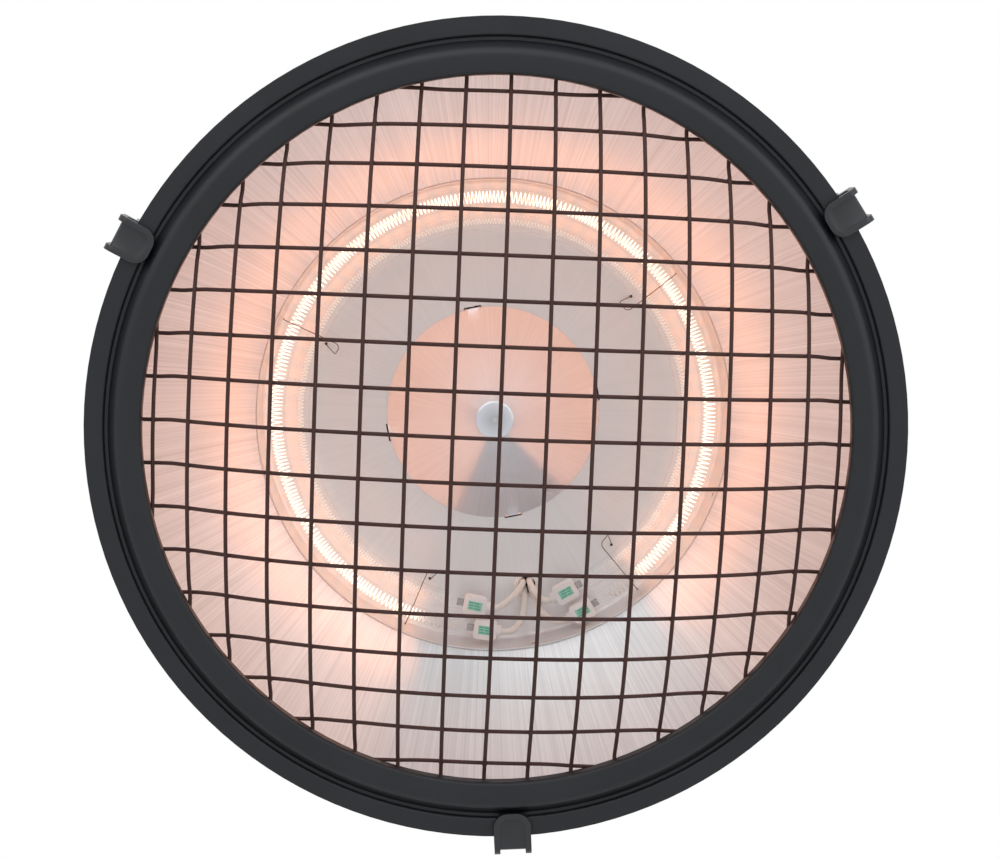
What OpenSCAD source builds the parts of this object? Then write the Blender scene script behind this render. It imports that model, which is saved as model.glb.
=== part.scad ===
// Hanging patio heater: a bell shade with two ring lamps behind a domed wire guard.
// The origin is where the ceiling hook bears in the hanging ring. +Z is up, and the
// radiant side faces -Z. Heights named *_h are above the plane of the shade's rim.

/* [Hanging] */
// Height of the hook's bearing point above the roof of the housing
hook_rise = 60; // [58:1:80]
// Inner radius of the hanging ring
ring_in_r = 18.5; // [17:0.5:22]
// Diameter of the hanging ring's wire
ring_wire_d = 7; // [6:0.5:8]
// Diameter of the hole in the eye
eye_hole_d = 12; // [10:0.5:14]
// Width of the metal round the eye's hole
eye_wall = 6; // [4.5:0.5:7]
// Thickness of the eye
eye_t = 6; // [5:0.5:7]
// Diameter of the eye bolt's stem
stem_d = 8; // [6:1:10]

/* [Rim and shade] */
// Diameter over the clamped rim flanges
rim_d = 450; // [405:5:495]
// Width of the rim flange outside the skirt
flange_w = 7.6; // [7:0.2:9]
// Thickness of the painted steel sheet
sheet_t = 1.2; // [1:0.1:1.4]
// Height of the straight skirt
skirt_h = 34; // [30:1:38]
// How far the bell's shoulder starts inside the skirt
shoulder_in = 27.4; // [20:0.2:34]
// How far the shoulder starts below the flat top
shoulder_drop = 53; // [47:1:59]
// How far the edge of the flat crown lies inside the shoulder
crown_in = 48; // [40:1:58]
// Height of the shade's flat top
bell_h = 165; // [149:1:181]

/* [Top housing] */
// Outer radius of the housing over the shade
house_r = 61; // [60:0.5:66]
// Height of the housing
house_h = 43; // [41:1:44]
// Thickness of the housing's sheet
house_t = 1.4; // [1.2:0.1:1.6]
// Number of vent slots round the housing
vent_count = 12; // [8:1:16]
// Width of a vent slot
vent_w = 3; // [2:0.5:3.5]
// Height of a vent slot
vent_l = 15; // [10:1:16]
// Distance of the cable gland from the axis
gland_off = 41; // [39:0.5:43]
// Bore of the gland's rubber seal
cable_d = 8.4; // [7:0.2:9]
// Radius of the circle of standoffs
standoff_r = 49; // [47:0.5:51]

/* [Reflectors] */
// Thickness of the reflector sheet
refl_t = 0.8; // [0.6:0.1:1]
// Height of the outer reflector's hem
hem_h = 11; // [10:0.5:13]
// Height of the hem's fastening lip
lip_h = 13; // [11:0.5:15]
// How far the outer reflector's hem lies inside the skirt
hem_in = 11.9; // [10:0.1:14]
// Depth of the lamp recess
recess_deep = 32; // [29:1:36]
// Bulge of the outer reflector's slope
refl_bulge = 5; // [3:0.5:7]
// Room between the outer lamp and the wall of the recess
recess_room = 4.5; // [4:0.5:7]
// Height of the recess plate's inner face
plate_h = 130; // [117:1:143]
// Base radius of the centre cone
cone_r = 64; // [60:1:66]
// Radius of the flat tip of the centre cone
cone_tip_r = 10.5; // [8:0.5:14]
// Height of the centre cone
cone_deep = 53; // [46:1:56]
// Width of a fixing tab of the cone
tab_w = 10; // [8:0.5:12]

/* [Lamps] */
// Distance of the lamp rings below the recess plate
lamp_drop = 16; // [15:0.5:18]
// Radius of the outer lamp ring
outer_lamp_r = 129.5; // [117:0.5:142]
// Gap between the tubes of the two lamps
lamp_gap = 2.5; // [2:0.5:4]
// Diameter of the quartz tube
tube_d = 12; // [10:0.5:12]
// Wall of the quartz tube
tube_wall = 1.1; // [0.9:0.1:1.3]
// Diameter over the filament coil
coil_d = 6.8; // [5:0.2:7]
// Diameter of the filament wire
coil_wire_d = 0.8; // [0.6:0.1:1]
// Curls in the outer filament
outer_curls = 44; // [30:1:50]
// Curls in the inner filament
inner_curls = 38; // [28:1:46]
// Length of a ceramic end cap
cap_l = 14; // [12:0.5:15]
// Width of a ceramic end cap
cap_w = 11.5; // [10:0.5:12]
// Height of a ceramic end cap
cap_t = 9; // [8:0.5:10]
// Diameter of a sleeved lamp lead
lead_d = 4; // [3:0.1:4.2]
// Diameter of the spring wire that holds the lamps
support_wire_d = 1.2; // [1:0.1:1.6]

/* [Guard] */
// Width of the guard ring from the rim to its opening
guard_ring_w = 31.5; // [30.5:0.5:35]
// How far the edge of the guard ring's flat face lies inside the rim
face_in = 18.7; // [18:0.1:21]
// Depth of the guard ring's face below the rim
face_drop = 6.6; // [5.5:0.1:8]
// Diameter of a guard wire
wire_d = 2.5; // [2:0.1:2.6]
// Distance between the lengthwise guard wires along the dome
wire_pitch = 24.6; // [22:0.1:30]
// Distance between the crosswise guard wires along the dome
cross_pitch = 24.3; // [22:0.1:30]
// Share of the full draw that pressing the dome gives the mesh, which bows the outer wires inward
draw_in = 0.45; // [0:0.05:1]
// Radius of curvature of the dome's crown
crown_curve = 500; // [400:10:700]
// Radius of curvature of the dome's shoulder
knuckle_curve = 208; // [190:2:230]
// Slope of the dome where it meets the ring
edge_slope = 37.2; // [34:0.2:40]
// Turn of the mesh about the axis
mesh_turn = 2.25; // [0:0.05:5]

/* [Clips] */
// Number of clips round the rim
clip_count = 3; // [3:1:3]
// Angle of the first clip
clip_angle = 87.9; // [80:0.1:95]
// Width of a clip
clip_w = 20.5; // [19:0.5:23]
// Thickness of the clip's sheet
clip_t = 1.5; // [1.3:0.1:1.7]
// Width of the raised border of a clip
border_w = 3.2; // [2.6:0.1:3.6]
// Height of the raised border of a clip
border_t = 2.2; // [1.6:0.1:2.6]
// How far a clip reaches in over the flange
clip_reach = 13.5; // [12:0.5:14]
// Distance of the clip's outer wall from the flange edge
clip_room = 6.5; // [6:0.5:8]
// Height of the clip's pivot above the rim
pivot_h = 13; // [12:0.5:14]
// Diameter of the clip's pivot pin
pin_d = 3; // [2.5:0.1:3.2]

/* [Hidden] */

// Clearances
seat = 0.1;          // between pieces that rest on each other
loose = 0.3;         // between pieces that move past each other
run = 0.05;          // round a pin that turns in its hole
weld = 0.06;         // between the two layers of guard wires
round_fn = 180;      // sides of the large rounds
small_fn = 32;       // sides of the small rounds

charcoal = [0.19, 0.20, 0.21];
steel = [0.70, 0.71, 0.72];
aluminium = [0.86, 0.82, 0.80];
ceramic = [0.94, 0.93, 0.90];
rubber = [0.10, 0.10, 0.10];
brass = [0.78, 0.62, 0.32];
quartz = [0.85, 0.88, 0.90, 0.4];
tungsten = [0.95, 0.75, 0.45];

// Hanging point, ring and eye
wire_r = ring_wire_d / 2;
ring_mid_r = ring_in_r + wire_r;
eye_hole_r = eye_hole_d / 2;
eye_r = eye_hole_r + eye_wall;
eye_z = -2 * ring_in_r + loose - eye_hole_r;
stem_r = stem_d / 2;
stem_hole_r = stem_r + 0.3;
collar_r = 13;
collar_t = 3;
nut_t = 6.5;
washer_t = 1.5;
roof_h = bell_h + house_h;
rim_drop = roof_h + hook_rise;

// Shade and rim
rim_r = rim_d / 2;
skirt_out_r = rim_r - flange_w;
skirt_in_r = skirt_out_r - sheet_t;
bell_inner_h = bell_h - sheet_t;
shoulder_r = skirt_out_r - shoulder_in;
shoulder_h = bell_h - shoulder_drop;
crown_edge_r = shoulder_r - crown_in;
crown_fall = 9;

// Housing on top of the shade
gasket_t = 1;
base_t = 1.6;
base_h = bell_h + gasket_t;
base_top_h = base_h + base_t;
base_rim_h = 9;
base_out_r = house_r - house_t - loose;
gasket_r = base_out_r - 1;
house_foot_h = bell_h + loose;
house_screw_h = base_top_h + base_rim_h / 2 + 0.5;
feed_r = 7;
feed_off = gland_off - 15;
gland_dir = 270;
gland_thread_r = 8;
gland_hex_r = 10.5;
gland_flange_t = 5;
gland_neck_l = 11;
gland_nut_l = 17;
seal_r = 6.8;
seal_l = 10;
m4_r = 2;
m4_hole_r = m4_r + 0.15;
screw_grip = 8;
house_screw_turn = 30;

// Reflectors
tube_r = tube_d / 2;
hem_r = skirt_in_r - hem_in;
recess_h = plate_h - recess_deep;
recess_r = outer_lamp_r + tube_r + recess_room;
pan_wall_r = recess_r - refl_t / 2;
collar_in_r = recess_r + 0.2;
collar_top_h = recess_h + 14;
cone_tip_h = plate_h - cone_deep;
tab_r = cone_r - refl_t;
tab_l = 5;
slot_room = 1;
lip_out_r = skirt_in_r - loose;
hem_screw_h = hem_h + lip_h / 2 + 0.5;
cone_tabs = 4;
standoff_count = 4;
standoff_turn = 34;
standoff_w = 5;
pan_rivet_count = 6;

// Lamps. gap_dir is the way that the open ends of both rings face.
gap_dir = 79;
lamp_h = plate_h - lamp_drop;
inner_lamp_r = outer_lamp_r - tube_d - lamp_gap;
outer_end_runs = [42.9, 42.9];
inner_end_runs = [46.2, 35.1];
outer_ends = outer_end_runs / outer_lamp_r * 180 / PI;
inner_ends = inner_end_runs / inner_lamp_r * 180 / PI;
bore_r = tube_r - tube_wall;
neck_deg = 1.6;
pinch_l = 17;
pinch_w = 8;
pinch_t = 3;
cap_off = 6;
cap_corner = 2.5;
cap_collar_l = 2.5;
cap_collar_wall = 1.4;
cap_bore_off = 1;
lead_r = lead_d / 2;
lead_fit = 0.15;
hole_pitch = lead_r + lead_fit;
bushing_r = hole_pitch * sqrt(2) + lead_r + 0.2;
bushing_off = inner_lamp_r - tube_r - 1.5;
bushing_wall = 0.9;
bushing_lip = 1.5;
support_r = support_wire_d / 2;
support_dirs = [48.4, 110.7, 202.5, 320];
support_hole_off = inner_lamp_r - tube_r - loose;

// Bends of a lead: how far it runs on from its cap, how far it drops from the plate,
// and for its row in the bushing how far it rises and runs in to the terminal block
outer_bend = [20, 8];
inner_bends = [[11, 11], [11, 14]];
row_bends = [[7, 20], [18, 30]];
lead_end = 3;

// Terminal block and thermal cutout on the back of the reflector pan
pan_back_h = plate_h + refl_t;
block_l = 40;
block_w = 22;
block_t = 16;
block_off = tab_r - block_w - 1.2;
block_poles = 4;
pole_pitch = 9;
pole_w = 7.4;
pole_h = pan_back_h + 8;
cutout_off = 80;
cutout_r = 9;
blade_y = 4.5;
blade_w = 4.8;
blade_t = 0.8;
blade_top_h = pan_back_h + 5.8;
jumper_r = 1.3;

// Guard ring, its retainer and the wire dome
guard_top_h = -seat;
guard_mid_h = guard_top_h - sheet_t / 2;
guard_open_r = rim_r - guard_ring_w;
face_r = rim_r - face_in;
guard_low_h = guard_top_h - sheet_t;
spigot_r = skirt_in_r - 0.5 - sheet_t / 2;
ledge_h = 2;
face_bend = 5;
face_run = 5.7;
guard_lip_r = guard_open_r + sheet_t / 2;
guard_lip_h = 1;
wire_end_r = spigot_r - 8.1;
guard_wire_r = wire_d / 2;
layer_off = guard_wire_r + weld / 2;
mesh_h = guard_lip_h + seat + guard_wire_r + layer_off;
retainer_h = mesh_h + layer_off + guard_wire_r + seat + sheet_t / 2;
retainer_leg_r = spigot_r - 1.9;
flare_curve = 6;
dome_edge_r = guard_open_r - 2.4;
crown_r = (dome_edge_r - (flare_curve + knuckle_curve) * sin(edge_slope))
    / (1 - knuckle_curve / crown_curve);
crown_slope = asin(crown_r / crown_curve);
knuckle_r = crown_r + knuckle_curve * (sin(edge_slope) - sin(crown_slope));
crown_rise = crown_curve * (1 - cos(crown_slope));
knuckle_rise = crown_rise + knuckle_curve * (cos(crown_slope) - cos(edge_slope));
dome_rise = knuckle_rise + flare_curve * (1 - cos(edge_slope));
crown_arc = crown_curve * crown_slope * PI / 180;
knuckle_arc = crown_arc + knuckle_curve * (edge_slope - crown_slope) * PI / 180;
dome_arc = knuckle_arc + flare_curve * edge_slope * PI / 180;
wire_room = dome_arc + wire_end_r - dome_edge_r - 2 * wire_d;

// Clips
jaw_top_h = guard_low_h - loose;
jaw_low_h = jaw_top_h - clip_t;
jaw_in_r = rim_r - clip_reach;
web_in_r = rim_r + clip_room;
web_out_r = web_in_r + clip_t;
pivot_r = rim_r + 0.5;
pin_r = pin_d / 2;
cheek_r = pin_r + 2.5;
ear_r = pin_r + 2;
ear_t = 1.5;
ear_in = clip_w / 2 - clip_t - loose - ear_t;
clip_top_h = pivot_h + 3;
bracket_t = 1.5;
bracket_low_h = pivot_h - 9;
bracket_high_h = pivot_h + 14;
rivet_heights = [bracket_low_h + 4.5, bracket_high_h - 4.5];
rivet_r = 1.6;
rivet_head = 1.3;

// Plane geometry of bent sheet
function unit(v) = v / norm(v);
function reverse(p) = [for (i = [len(p) - 1 : -1 : 0]) p[i]];
function corner_arc(a, b, c, r, steps) =
    let (u = unit(a - b), v = unit(c - b), half = acos(u * v) / 2,
        mid = b + unit(u + v) * r / sin(half),
        s = b + u * r / tan(half) - mid, e = b + v * r / tan(half) - mid)
    [for (k = [0 : steps]) mid + r * unit(s * (steps - k) + e * k)];
// The path with each inner corner rounded to its radius, where 0 keeps the corner
function bend_path(p, radii, steps = 4) = [for (i = [0 : len(p) - 1])
    each (i == 0 || i == len(p) - 1 || radii[i] == 0
        ? [p[i]] : corner_arc(p[i - 1], p[i], p[i + 1], radii[i], steps))];
function beside(p, d) = [for (i = [0 : len(p) - 1])
    let (n = len(p) - 1,
        after = unit(p[min(i + 1, n)] - p[min(i, n - 1)]),
        before = unit(p[max(i, 1)] - p[max(i - 1, 0)]),
        along = unit(after + before), side = [-along.y, along.x])
    p[i] + side * d / (side * [-after.y, after.x])];
// Outline of a sheet of thickness t that follows the path
function sheet(p, t) = concat(beside(p, t / 2), reverse(beside(p, -t / 2)));
// Points of a shallow arc from a to b, bulging by sag to the right of the way
function bulge(a, b, sag, steps) =
    let (d = b - a, l = norm(d), side = [d.y, -d.x] / l)
    [for (k = [1 : steps - 1]) let (s = k / steps) a + d * s + side * sag * 4 * s * (1 - s)];
function polar(r, a, h = 0) = [r * cos(a), r * sin(a), h];

// Tubes along points
function way(p, i) = unit(p[min(i + 1, len(p) - 1)] - p[max(i - 1, 0)]);
function square_to(v, t) = unit(v - (v * t) * t);
function carried(p, n, i = 0) = i == len(p) ? []
    : let (m = square_to(n, way(p, i))) concat([m], carried(p, m, i + 1));
function bezier(a, b, c, d, steps) = [for (k = [0 : steps]) let (s = k / steps, q = 1 - s)
    q * q * q * a + 3 * q * q * s * b + 3 * q * s * s * c + s * s * s * d];

// A closed tube of radius r along p, with the side normals n
module tube(p, n, r, sides) {
    rings = [for (i = [0 : len(p) - 1]) let (t = way(p, i), m = square_to(n[i], t), b = cross(t, m))
        each [for (k = [0 : sides - 1]) let (a = k * 360 / sides) p[i] + r * (cos(a) * m + sin(a) * b)]];
    last = (len(p) - 1) * sides;
    walls = [for (i = [0 : len(p) - 2], k = [0 : sides - 1])
        let (a = i * sides + k, b = i * sides + (k + 1) % sides)
        each [[a, a + sides, b], [b, a + sides, b + sides]]];
    ends = [for (k = [1 : sides - 2]) each [[0, k, k + 1], [last, last + k + 1, last + k]]];
    polyhedron(points = rings, faces = concat(walls, ends));
}

module above_rim(h = 0) translate([0, 0, h - rim_drop]) children();
module around(count, turn = 0) for (i = [0 : count - 1]) rotate([0, 0, turn + i * 360 / count]) children();

// A pan head screw along +Z, with the underside of its head at the origin
module screw(r, length) {
    rotate_extrude($fn = small_fn)
        polygon([[0, -length], [r * 0.7, -length], [r, -length + r * 0.5], [r, 0], [r * 1.9, 0],
            [r * 1.9, r * 0.5], [r * 1.5, r * 0.95], [r * 0.8, r * 1.15], [0, r * 1.2]]);
}

// A bar with round ends, length l along X and width w, in the plane
module slot_shape(l, w) {
    square([l - w, w], center = true);
    for (s = [-1, 1]) translate([s * (l - w) / 2, 0]) circle(d = w, $fn = small_fn);
}

// A rectangle with round corners, centred
module round_rect(l, w, r) {
    square([l, w - 2 * r], center = true);
    square([l - 2 * r, w], center = true);
    for (sx = [-1, 1], sy = [-1, 1])
        translate([sx * (l / 2 - r), sy * (w / 2 - r)]) circle(r = r, $fn = small_fn);
}

// Hanging gear
module hang_ring() color(steel) {
    translate([0, 0, -ring_in_r]) rotate([0, 90, 0])
        rotate_extrude($fn = 96) translate([ring_mid_r, 0]) circle(r = wire_r, $fn = small_fn);
}

module eye_bolt() color(steel) {
    roof_z = roof_h - rim_drop;
    foot_z = roof_z + collar_t;
    stem_end = bell_inner_h - washer_t - nut_t - 2;
    difference() {
        union() {
            translate([0, 0, eye_z]) rotate([90, 0, 0])
                cylinder(r = eye_r, h = eye_t, center = true, $fn = 64);
            rotate([90, 0, 0]) linear_extrude(eye_t, center = true)
                polygon([[-collar_r + 1, foot_z - 1], [collar_r - 1, foot_z - 1],
                    [eye_r * 0.7, eye_z - 2], [-eye_r * 0.7, eye_z - 2]]);
            translate([0, 0, roof_z]) cylinder(r = collar_r, h = collar_t, $fn = 64);
            above_rim(stem_end) cylinder(r = stem_r, h = roof_h - stem_end + 1, $fn = 48);
        }
        translate([0, 0, eye_z]) rotate([90, 0, 0])
            cylinder(r = eye_hole_r, h = eye_t * 2, center = true, $fn = 64);
    }
}

module stem_spacer() color(steel) {
    above_rim(base_top_h) difference() {
        cylinder(r = stem_r + 3, h = roof_h - house_t - base_top_h, $fn = 48);
        translate([0, 0, -1]) cylinder(r = stem_hole_r, h = house_h + 2, $fn = 48);
    }
}

module stem_nut() color(steel) {
    above_rim(bell_inner_h - washer_t - nut_t) difference() {
        cylinder(r = stem_r * 1.8, h = nut_t, $fn = 6);
        translate([0, 0, -1]) cylinder(r = stem_r + run, h = nut_t + 2, $fn = 48);
    }
}

module stem_washer() color(steel) {
    above_rim(bell_inner_h - washer_t) difference() {
        cylinder(r = stem_r * 2.5, h = washer_t, $fn = 48);
        translate([0, 0, -1]) cylinder(r = stem_hole_r, h = washer_t + 2, $fn = 48);
    }
}

// Top housing
module at_gland(h) above_rim(h) translate(polar(gland_off, gland_dir)) children();
module at_feed(h) above_rim(h) translate(polar(feed_off, gland_dir)) children();

module top_housing() color(charcoal) {
    wall_r = house_r - house_t / 2;
    roof_mid = roof_h - house_t / 2;
    vent_mid = (house_screw_h + roof_h) / 2 + 1;
    path = bend_path([[stem_hole_r, roof_mid], [wall_r, roof_mid], [wall_r, house_foot_h]], [0, 10, 0], 6);
    difference() {
        above_rim() rotate_extrude($fn = round_fn) polygon(sheet(path, house_t));
        at_gland(roof_h - house_t - 1) cylinder(r = gland_thread_r + seat, h = house_t + 2, $fn = 48);
        above_rim(house_screw_h) around(3, house_screw_turn)
            translate([house_r - house_t - 1, 0, 0]) rotate([0, 90, 0])
                cylinder(r = m4_hole_r, h = house_t + 2, $fn = small_fn);
        above_rim(vent_mid) around(vent_count) translate([house_r - house_t - 1, 0, 0]) rotate([0, 90, 0])
            linear_extrude(house_t + 2) slot_shape(vent_l, vent_w);
    }
}

module housing_base() color(steel) {
    wall_r = base_out_r - base_t / 2;
    mid = base_h + base_t / 2;
    path = bend_path([[stem_hole_r, mid], [wall_r, mid], [wall_r, base_top_h + base_rim_h]], [0, 2, 0]);
    difference() {
        above_rim() rotate_extrude($fn = round_fn) polygon(sheet(path, base_t));
        at_feed(base_h - 1) cylinder(r = feed_r + seat, h = base_t + 2, $fn = 48);
        above_rim(base_h - 1) around(standoff_count, standoff_turn) translate([standoff_r, 0, 0])
            cylinder(r = m4_hole_r, h = base_t + 2, $fn = small_fn);
        above_rim(house_screw_h) around(3, house_screw_turn)
            translate([base_out_r - base_t - 1, 0, 0]) rotate([0, 90, 0])
                cylinder(r = m4_hole_r, h = base_t + 2, $fn = small_fn);
    }
}

module housing_gasket() color(rubber) {
    difference() {
        above_rim(bell_h) cylinder(r = gasket_r, h = gasket_t, $fn = round_fn);
        above_rim(bell_h - 1) cylinder(r = stem_r + 1, h = gasket_t + 2, $fn = 48);
        at_feed(bell_h - 1) cylinder(r = feed_r + seat, h = gasket_t + 2, $fn = 48);
        above_rim(bell_h - 1) around(standoff_count, standoff_turn) translate([standoff_r, 0, 0])
            cylinder(r = m4_hole_r, h = gasket_t + 2, $fn = small_fn);
    }
}

module housing_screws() color(steel) {
    above_rim(house_screw_h) around(3, house_screw_turn)
        translate([house_r, 0, 0]) rotate([0, 90, 0]) screw(m4_r, 7);
}

module base_screws() color(steel) {
    above_rim(base_top_h) around(standoff_count, standoff_turn)
        translate([standoff_r, 0, 0]) screw(m4_r, base_t + gasket_t + sheet_t + screw_grip);
}

module feed_grommet() color(rubber) {
    lip = 1.2;
    lip_r = feed_r + 1.4;
    in_r = feed_r - 1.6;
    low = bell_inner_h - lip;
    at_feed(0) rotate_extrude($fn = 48)
        polygon([[in_r, low], [lip_r, low], [lip_r, bell_inner_h], [feed_r, bell_inner_h],
            [feed_r, base_top_h], [lip_r, base_top_h], [lip_r, base_top_h + lip],
            [in_r, base_top_h + lip]]);
}

// Cable gland
module gland_body() color(rubber) {
    seat_h = roof_h + gland_flange_t - 2;
    difference() {
        union() {
            at_gland(roof_h) cylinder(r = gland_hex_r, h = gland_flange_t, $fn = 6);
            at_gland(roof_h - house_t - 7) cylinder(r = gland_thread_r, h = house_t + 8, $fn = 48);
            at_gland(roof_h) cylinder(r = gland_thread_r, h = gland_neck_l, $fn = 48);
        }
        at_gland(roof_h - house_t - 8) cylinder(r = cable_d / 2 + 0.6, h = house_h, $fn = 48);
        at_gland(seat_h) cylinder(r = seal_r + seat, h = gland_neck_l, $fn = 48);
    }
}

module gland_seal() color(steel) {
    at_gland(roof_h + gland_flange_t - 2 + seat) difference() {
        cylinder(r = seal_r, h = seal_l, $fn = 48);
        translate([0, 0, -1]) cylinder(d = cable_d, h = seal_l + 2, $fn = 64);
    }
}

module gland_nut() color(rubber) {
    low = roof_h + gland_flange_t + loose;
    seal_top = roof_h + gland_flange_t - 2 + seat + seal_l + seat;
    difference() {
        union() {
            at_gland(low) cylinder(r = gland_hex_r, h = gland_neck_l - gland_flange_t, $fn = 6);
            at_gland(low) rotate_extrude($fn = 64)
                polygon([[0, 0], [gland_hex_r * 0.86, 0], [gland_hex_r * 0.86, gland_nut_l - 9],
                    [gland_hex_r * 0.8, gland_nut_l - 7], [gland_hex_r * 0.68, gland_nut_l - 5],
                    [gland_hex_r * 0.52, gland_nut_l - 4], [0, gland_nut_l - 4]]);
        }
        at_gland(low - 1)
            cylinder(r = gland_thread_r + seat, h = roof_h + gland_neck_l - low + 1 + loose, $fn = 48);
        at_gland(low) cylinder(r = seal_r + seat, h = seal_top - low, $fn = 48);
        at_gland(low) cylinder(r = cable_d / 2 + 0.4, h = gland_nut_l + 2, $fn = 48);
    }
}

module gland_locknut() color(rubber) {
    at_gland(roof_h - house_t - 5) difference() {
        cylinder(r = gland_hex_r, h = 5, $fn = 6);
        translate([0, 0, -1]) cylinder(r = gland_thread_r + run, h = 7, $fn = 48);
    }
}

// Shade and what hangs inside it
module shade() color(charcoal) {
    skirt_mid = skirt_out_r - sheet_t / 2;
    top_mid = bell_h - sheet_t / 2;
    path = bend_path([[rim_r, sheet_t / 2], [skirt_mid, sheet_t / 2], [skirt_mid, skirt_h],
        [shoulder_r, shoulder_h], [crown_edge_r, bell_h - crown_fall], [house_r + 12, top_mid],
        [stem_hole_r, top_mid]], [0, 2, 60, 60, 50, 60, 0], 5);
    difference() {
        above_rim() rotate_extrude($fn = round_fn) polygon(sheet(path, sheet_t));
        at_feed(bell_inner_h - 1) cylinder(r = feed_r + seat, h = sheet_t + 2, $fn = 48);
        above_rim(bell_inner_h - 1) around(standoff_count, standoff_turn) translate([standoff_r, 0, 0])
            cylinder(r = m4_hole_r, h = sheet_t + 2, $fn = small_fn);
        above_rim(hem_screw_h) around(clip_count, clip_angle + 60) translate([skirt_in_r - 1, 0, 0])
            rotate([0, 90, 0]) cylinder(r = m4_hole_r, h = sheet_t + 2, $fn = small_fn);
        rivet_places(skirt_in_r - 1) cylinder(r = rivet_r + run, h = sheet_t + 2, $fn = small_fn);
    }
}

module standoffs() color(steel) {
    above_rim(pan_back_h) around(standoff_count, standoff_turn) translate([standoff_r, 0, 0]) difference() {
        cylinder(r = standoff_w, h = bell_inner_h - pan_back_h, $fn = 6);
        translate([0, 0, -1]) cylinder(r = m4_r + run, h = bell_inner_h - pan_back_h + 2, $fn = small_fn);
    }
}

module pan_screws() color(steel) {
    above_rim(plate_h) around(standoff_count, standoff_turn)
        translate([standoff_r, 0, 0]) mirror([0, 0, 1]) screw(m4_r, refl_t + screw_grip);
}

module outer_reflector() color(aluminium) {
    lip_mid = lip_out_r - refl_t / 2;
    collar_mid = collar_in_r + refl_t / 2;
    hem = [hem_r, hem_h];
    neck = [collar_mid, recess_h];
    slope = bulge(hem, neck, refl_bulge, 8);
    corners = concat([[lip_mid, hem_h + lip_h], [lip_mid, hem_h], hem], slope,
        [neck, [collar_mid, collar_top_h]]);
    radii = concat([0, 1.5, 3], [for (p = slope) 0], [2, 0]);
    difference() {
        above_rim() rotate_extrude($fn = round_fn) polygon(sheet(bend_path(corners, radii), refl_t));
        above_rim(hem_screw_h) around(clip_count, clip_angle + 60) translate([lip_out_r - refl_t - 1, 0, 0])
            rotate([0, 90, 0]) cylinder(r = m4_hole_r, h = refl_t + 2, $fn = small_fn);
        pan_rivet_places(collar_in_r - 1) cylinder(r = rivet_r + run, h = refl_t + 2, $fn = small_fn);
    }
}

module reflector_screws() color(steel) {
    above_rim(hem_screw_h) around(clip_count, clip_angle + 60)
        translate([skirt_out_r, 0, 0]) rotate([0, 90, 0]) screw(m4_r, 6);
}

module pan_rivet_places(r) {
    above_rim(recess_h + 8) around(pan_rivet_count, 20) translate([r, 0, 0]) rotate([0, 90, 0]) children();
}

module reflector_pan() color(aluminium) {
    mid = plate_h + refl_t / 2;
    path = bend_path([[4, mid], [pan_wall_r, mid], [pan_wall_r, recess_h + 0.8]], [0, 3, 0]);
    difference() {
        above_rim() rotate_extrude($fn = round_fn) polygon(sheet(path, refl_t));
        above_rim(plate_h - 1) around(cone_tabs, gap_dir)
            translate([tab_r - loose, -tab_w / 2 - loose, 0])
                cube([refl_t + loose + slot_room, tab_w + 2 * loose, refl_t + 2]);
        above_rim(plate_h - 1) for (a = support_dirs) translate(polar(support_hole_off, a))
            cylinder(r = support_r + loose, h = refl_t + 2, $fn = small_fn);
        above_rim(plate_h - 1) translate(polar(bushing_off, gap_dir))
            cylinder(r = bushing_r + bushing_wall + run, h = refl_t + 2, $fn = 48);
        above_rim(plate_h - 1) around(standoff_count, standoff_turn) translate([standoff_r, 0, 0])
            cylinder(r = m4_hole_r, h = refl_t + 2, $fn = small_fn);
        pan_rivet_places(recess_r - refl_t - 1) cylinder(r = rivet_r + run, h = refl_t + 2, $fn = small_fn);
    }
}

module pan_rivets() color(aluminium) {
    pan_rivet_places(recess_r - refl_t) {
        cylinder(r = rivet_r, h = collar_in_r + refl_t - recess_r + refl_t, $fn = small_fn);
        translate([0, 0, collar_in_r + refl_t - recess_r + refl_t])
            cylinder(r = rivet_r + rivet_head, h = rivet_head, $fn = small_fn);
    }
}

module centre_cone() color(aluminium) {
    base = [cone_r - refl_t / 2, plate_h - seat];
    tip = [cone_tip_r, cone_tip_h + refl_t / 2];
    path = bend_path([base, tip, [1.5, tip.y]], [0, 2, 0]);
    above_rim() {
        rotate_extrude($fn = 120) polygon([for (p = sheet(path, refl_t)) [p.x, min(p.y, plate_h - seat)]]);
        around(cone_tabs, gap_dir)
            translate([tab_r, -tab_w / 2, plate_h - 1]) cube([refl_t, tab_w, tab_l]);
    }
}

// Terminal block and cutout
module at_block(r, h) above_rim(h) rotate([0, 0, gap_dir]) translate([r, 0, 0]) children();
function pole_y(i) = (i - (block_poles - 1) / 2) * pole_pitch;

module terminal_block() color(ceramic) {
    at_block(block_off, pan_back_h) difference() {
        union() {
            translate([0, -block_l / 2, 0]) cube([block_w, block_l, block_t - 4]);
            for (i = [0 : block_poles - 1])
                translate([0, pole_y(i) - pole_w / 2, 0]) cube([block_w, pole_w, block_t]);
        }
        for (i = [0 : block_poles - 1]) {
            translate([-1, pole_y(i), 8]) rotate([0, 90, 0])
                cylinder(r = lead_r + lead_fit, h = block_w + 2, $fn = small_fn);
            for (x = [6, block_w - 6]) translate([x, pole_y(i), 9])
                cylinder(r = 2 + run, h = block_t, $fn = small_fn);
        }
    }
}

module terminal_screws() color(brass) {
    at_block(block_off, pan_back_h) for (i = [0 : block_poles - 1], x = [6, block_w - 6])
        translate([x, pole_y(i), block_t - 4]) difference() {
            cylinder(r = 2, h = 3, $fn = small_fn);
            translate([-3, -0.4, 2.2]) cube([6, 0.8, 2]);
        }
}

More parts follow.
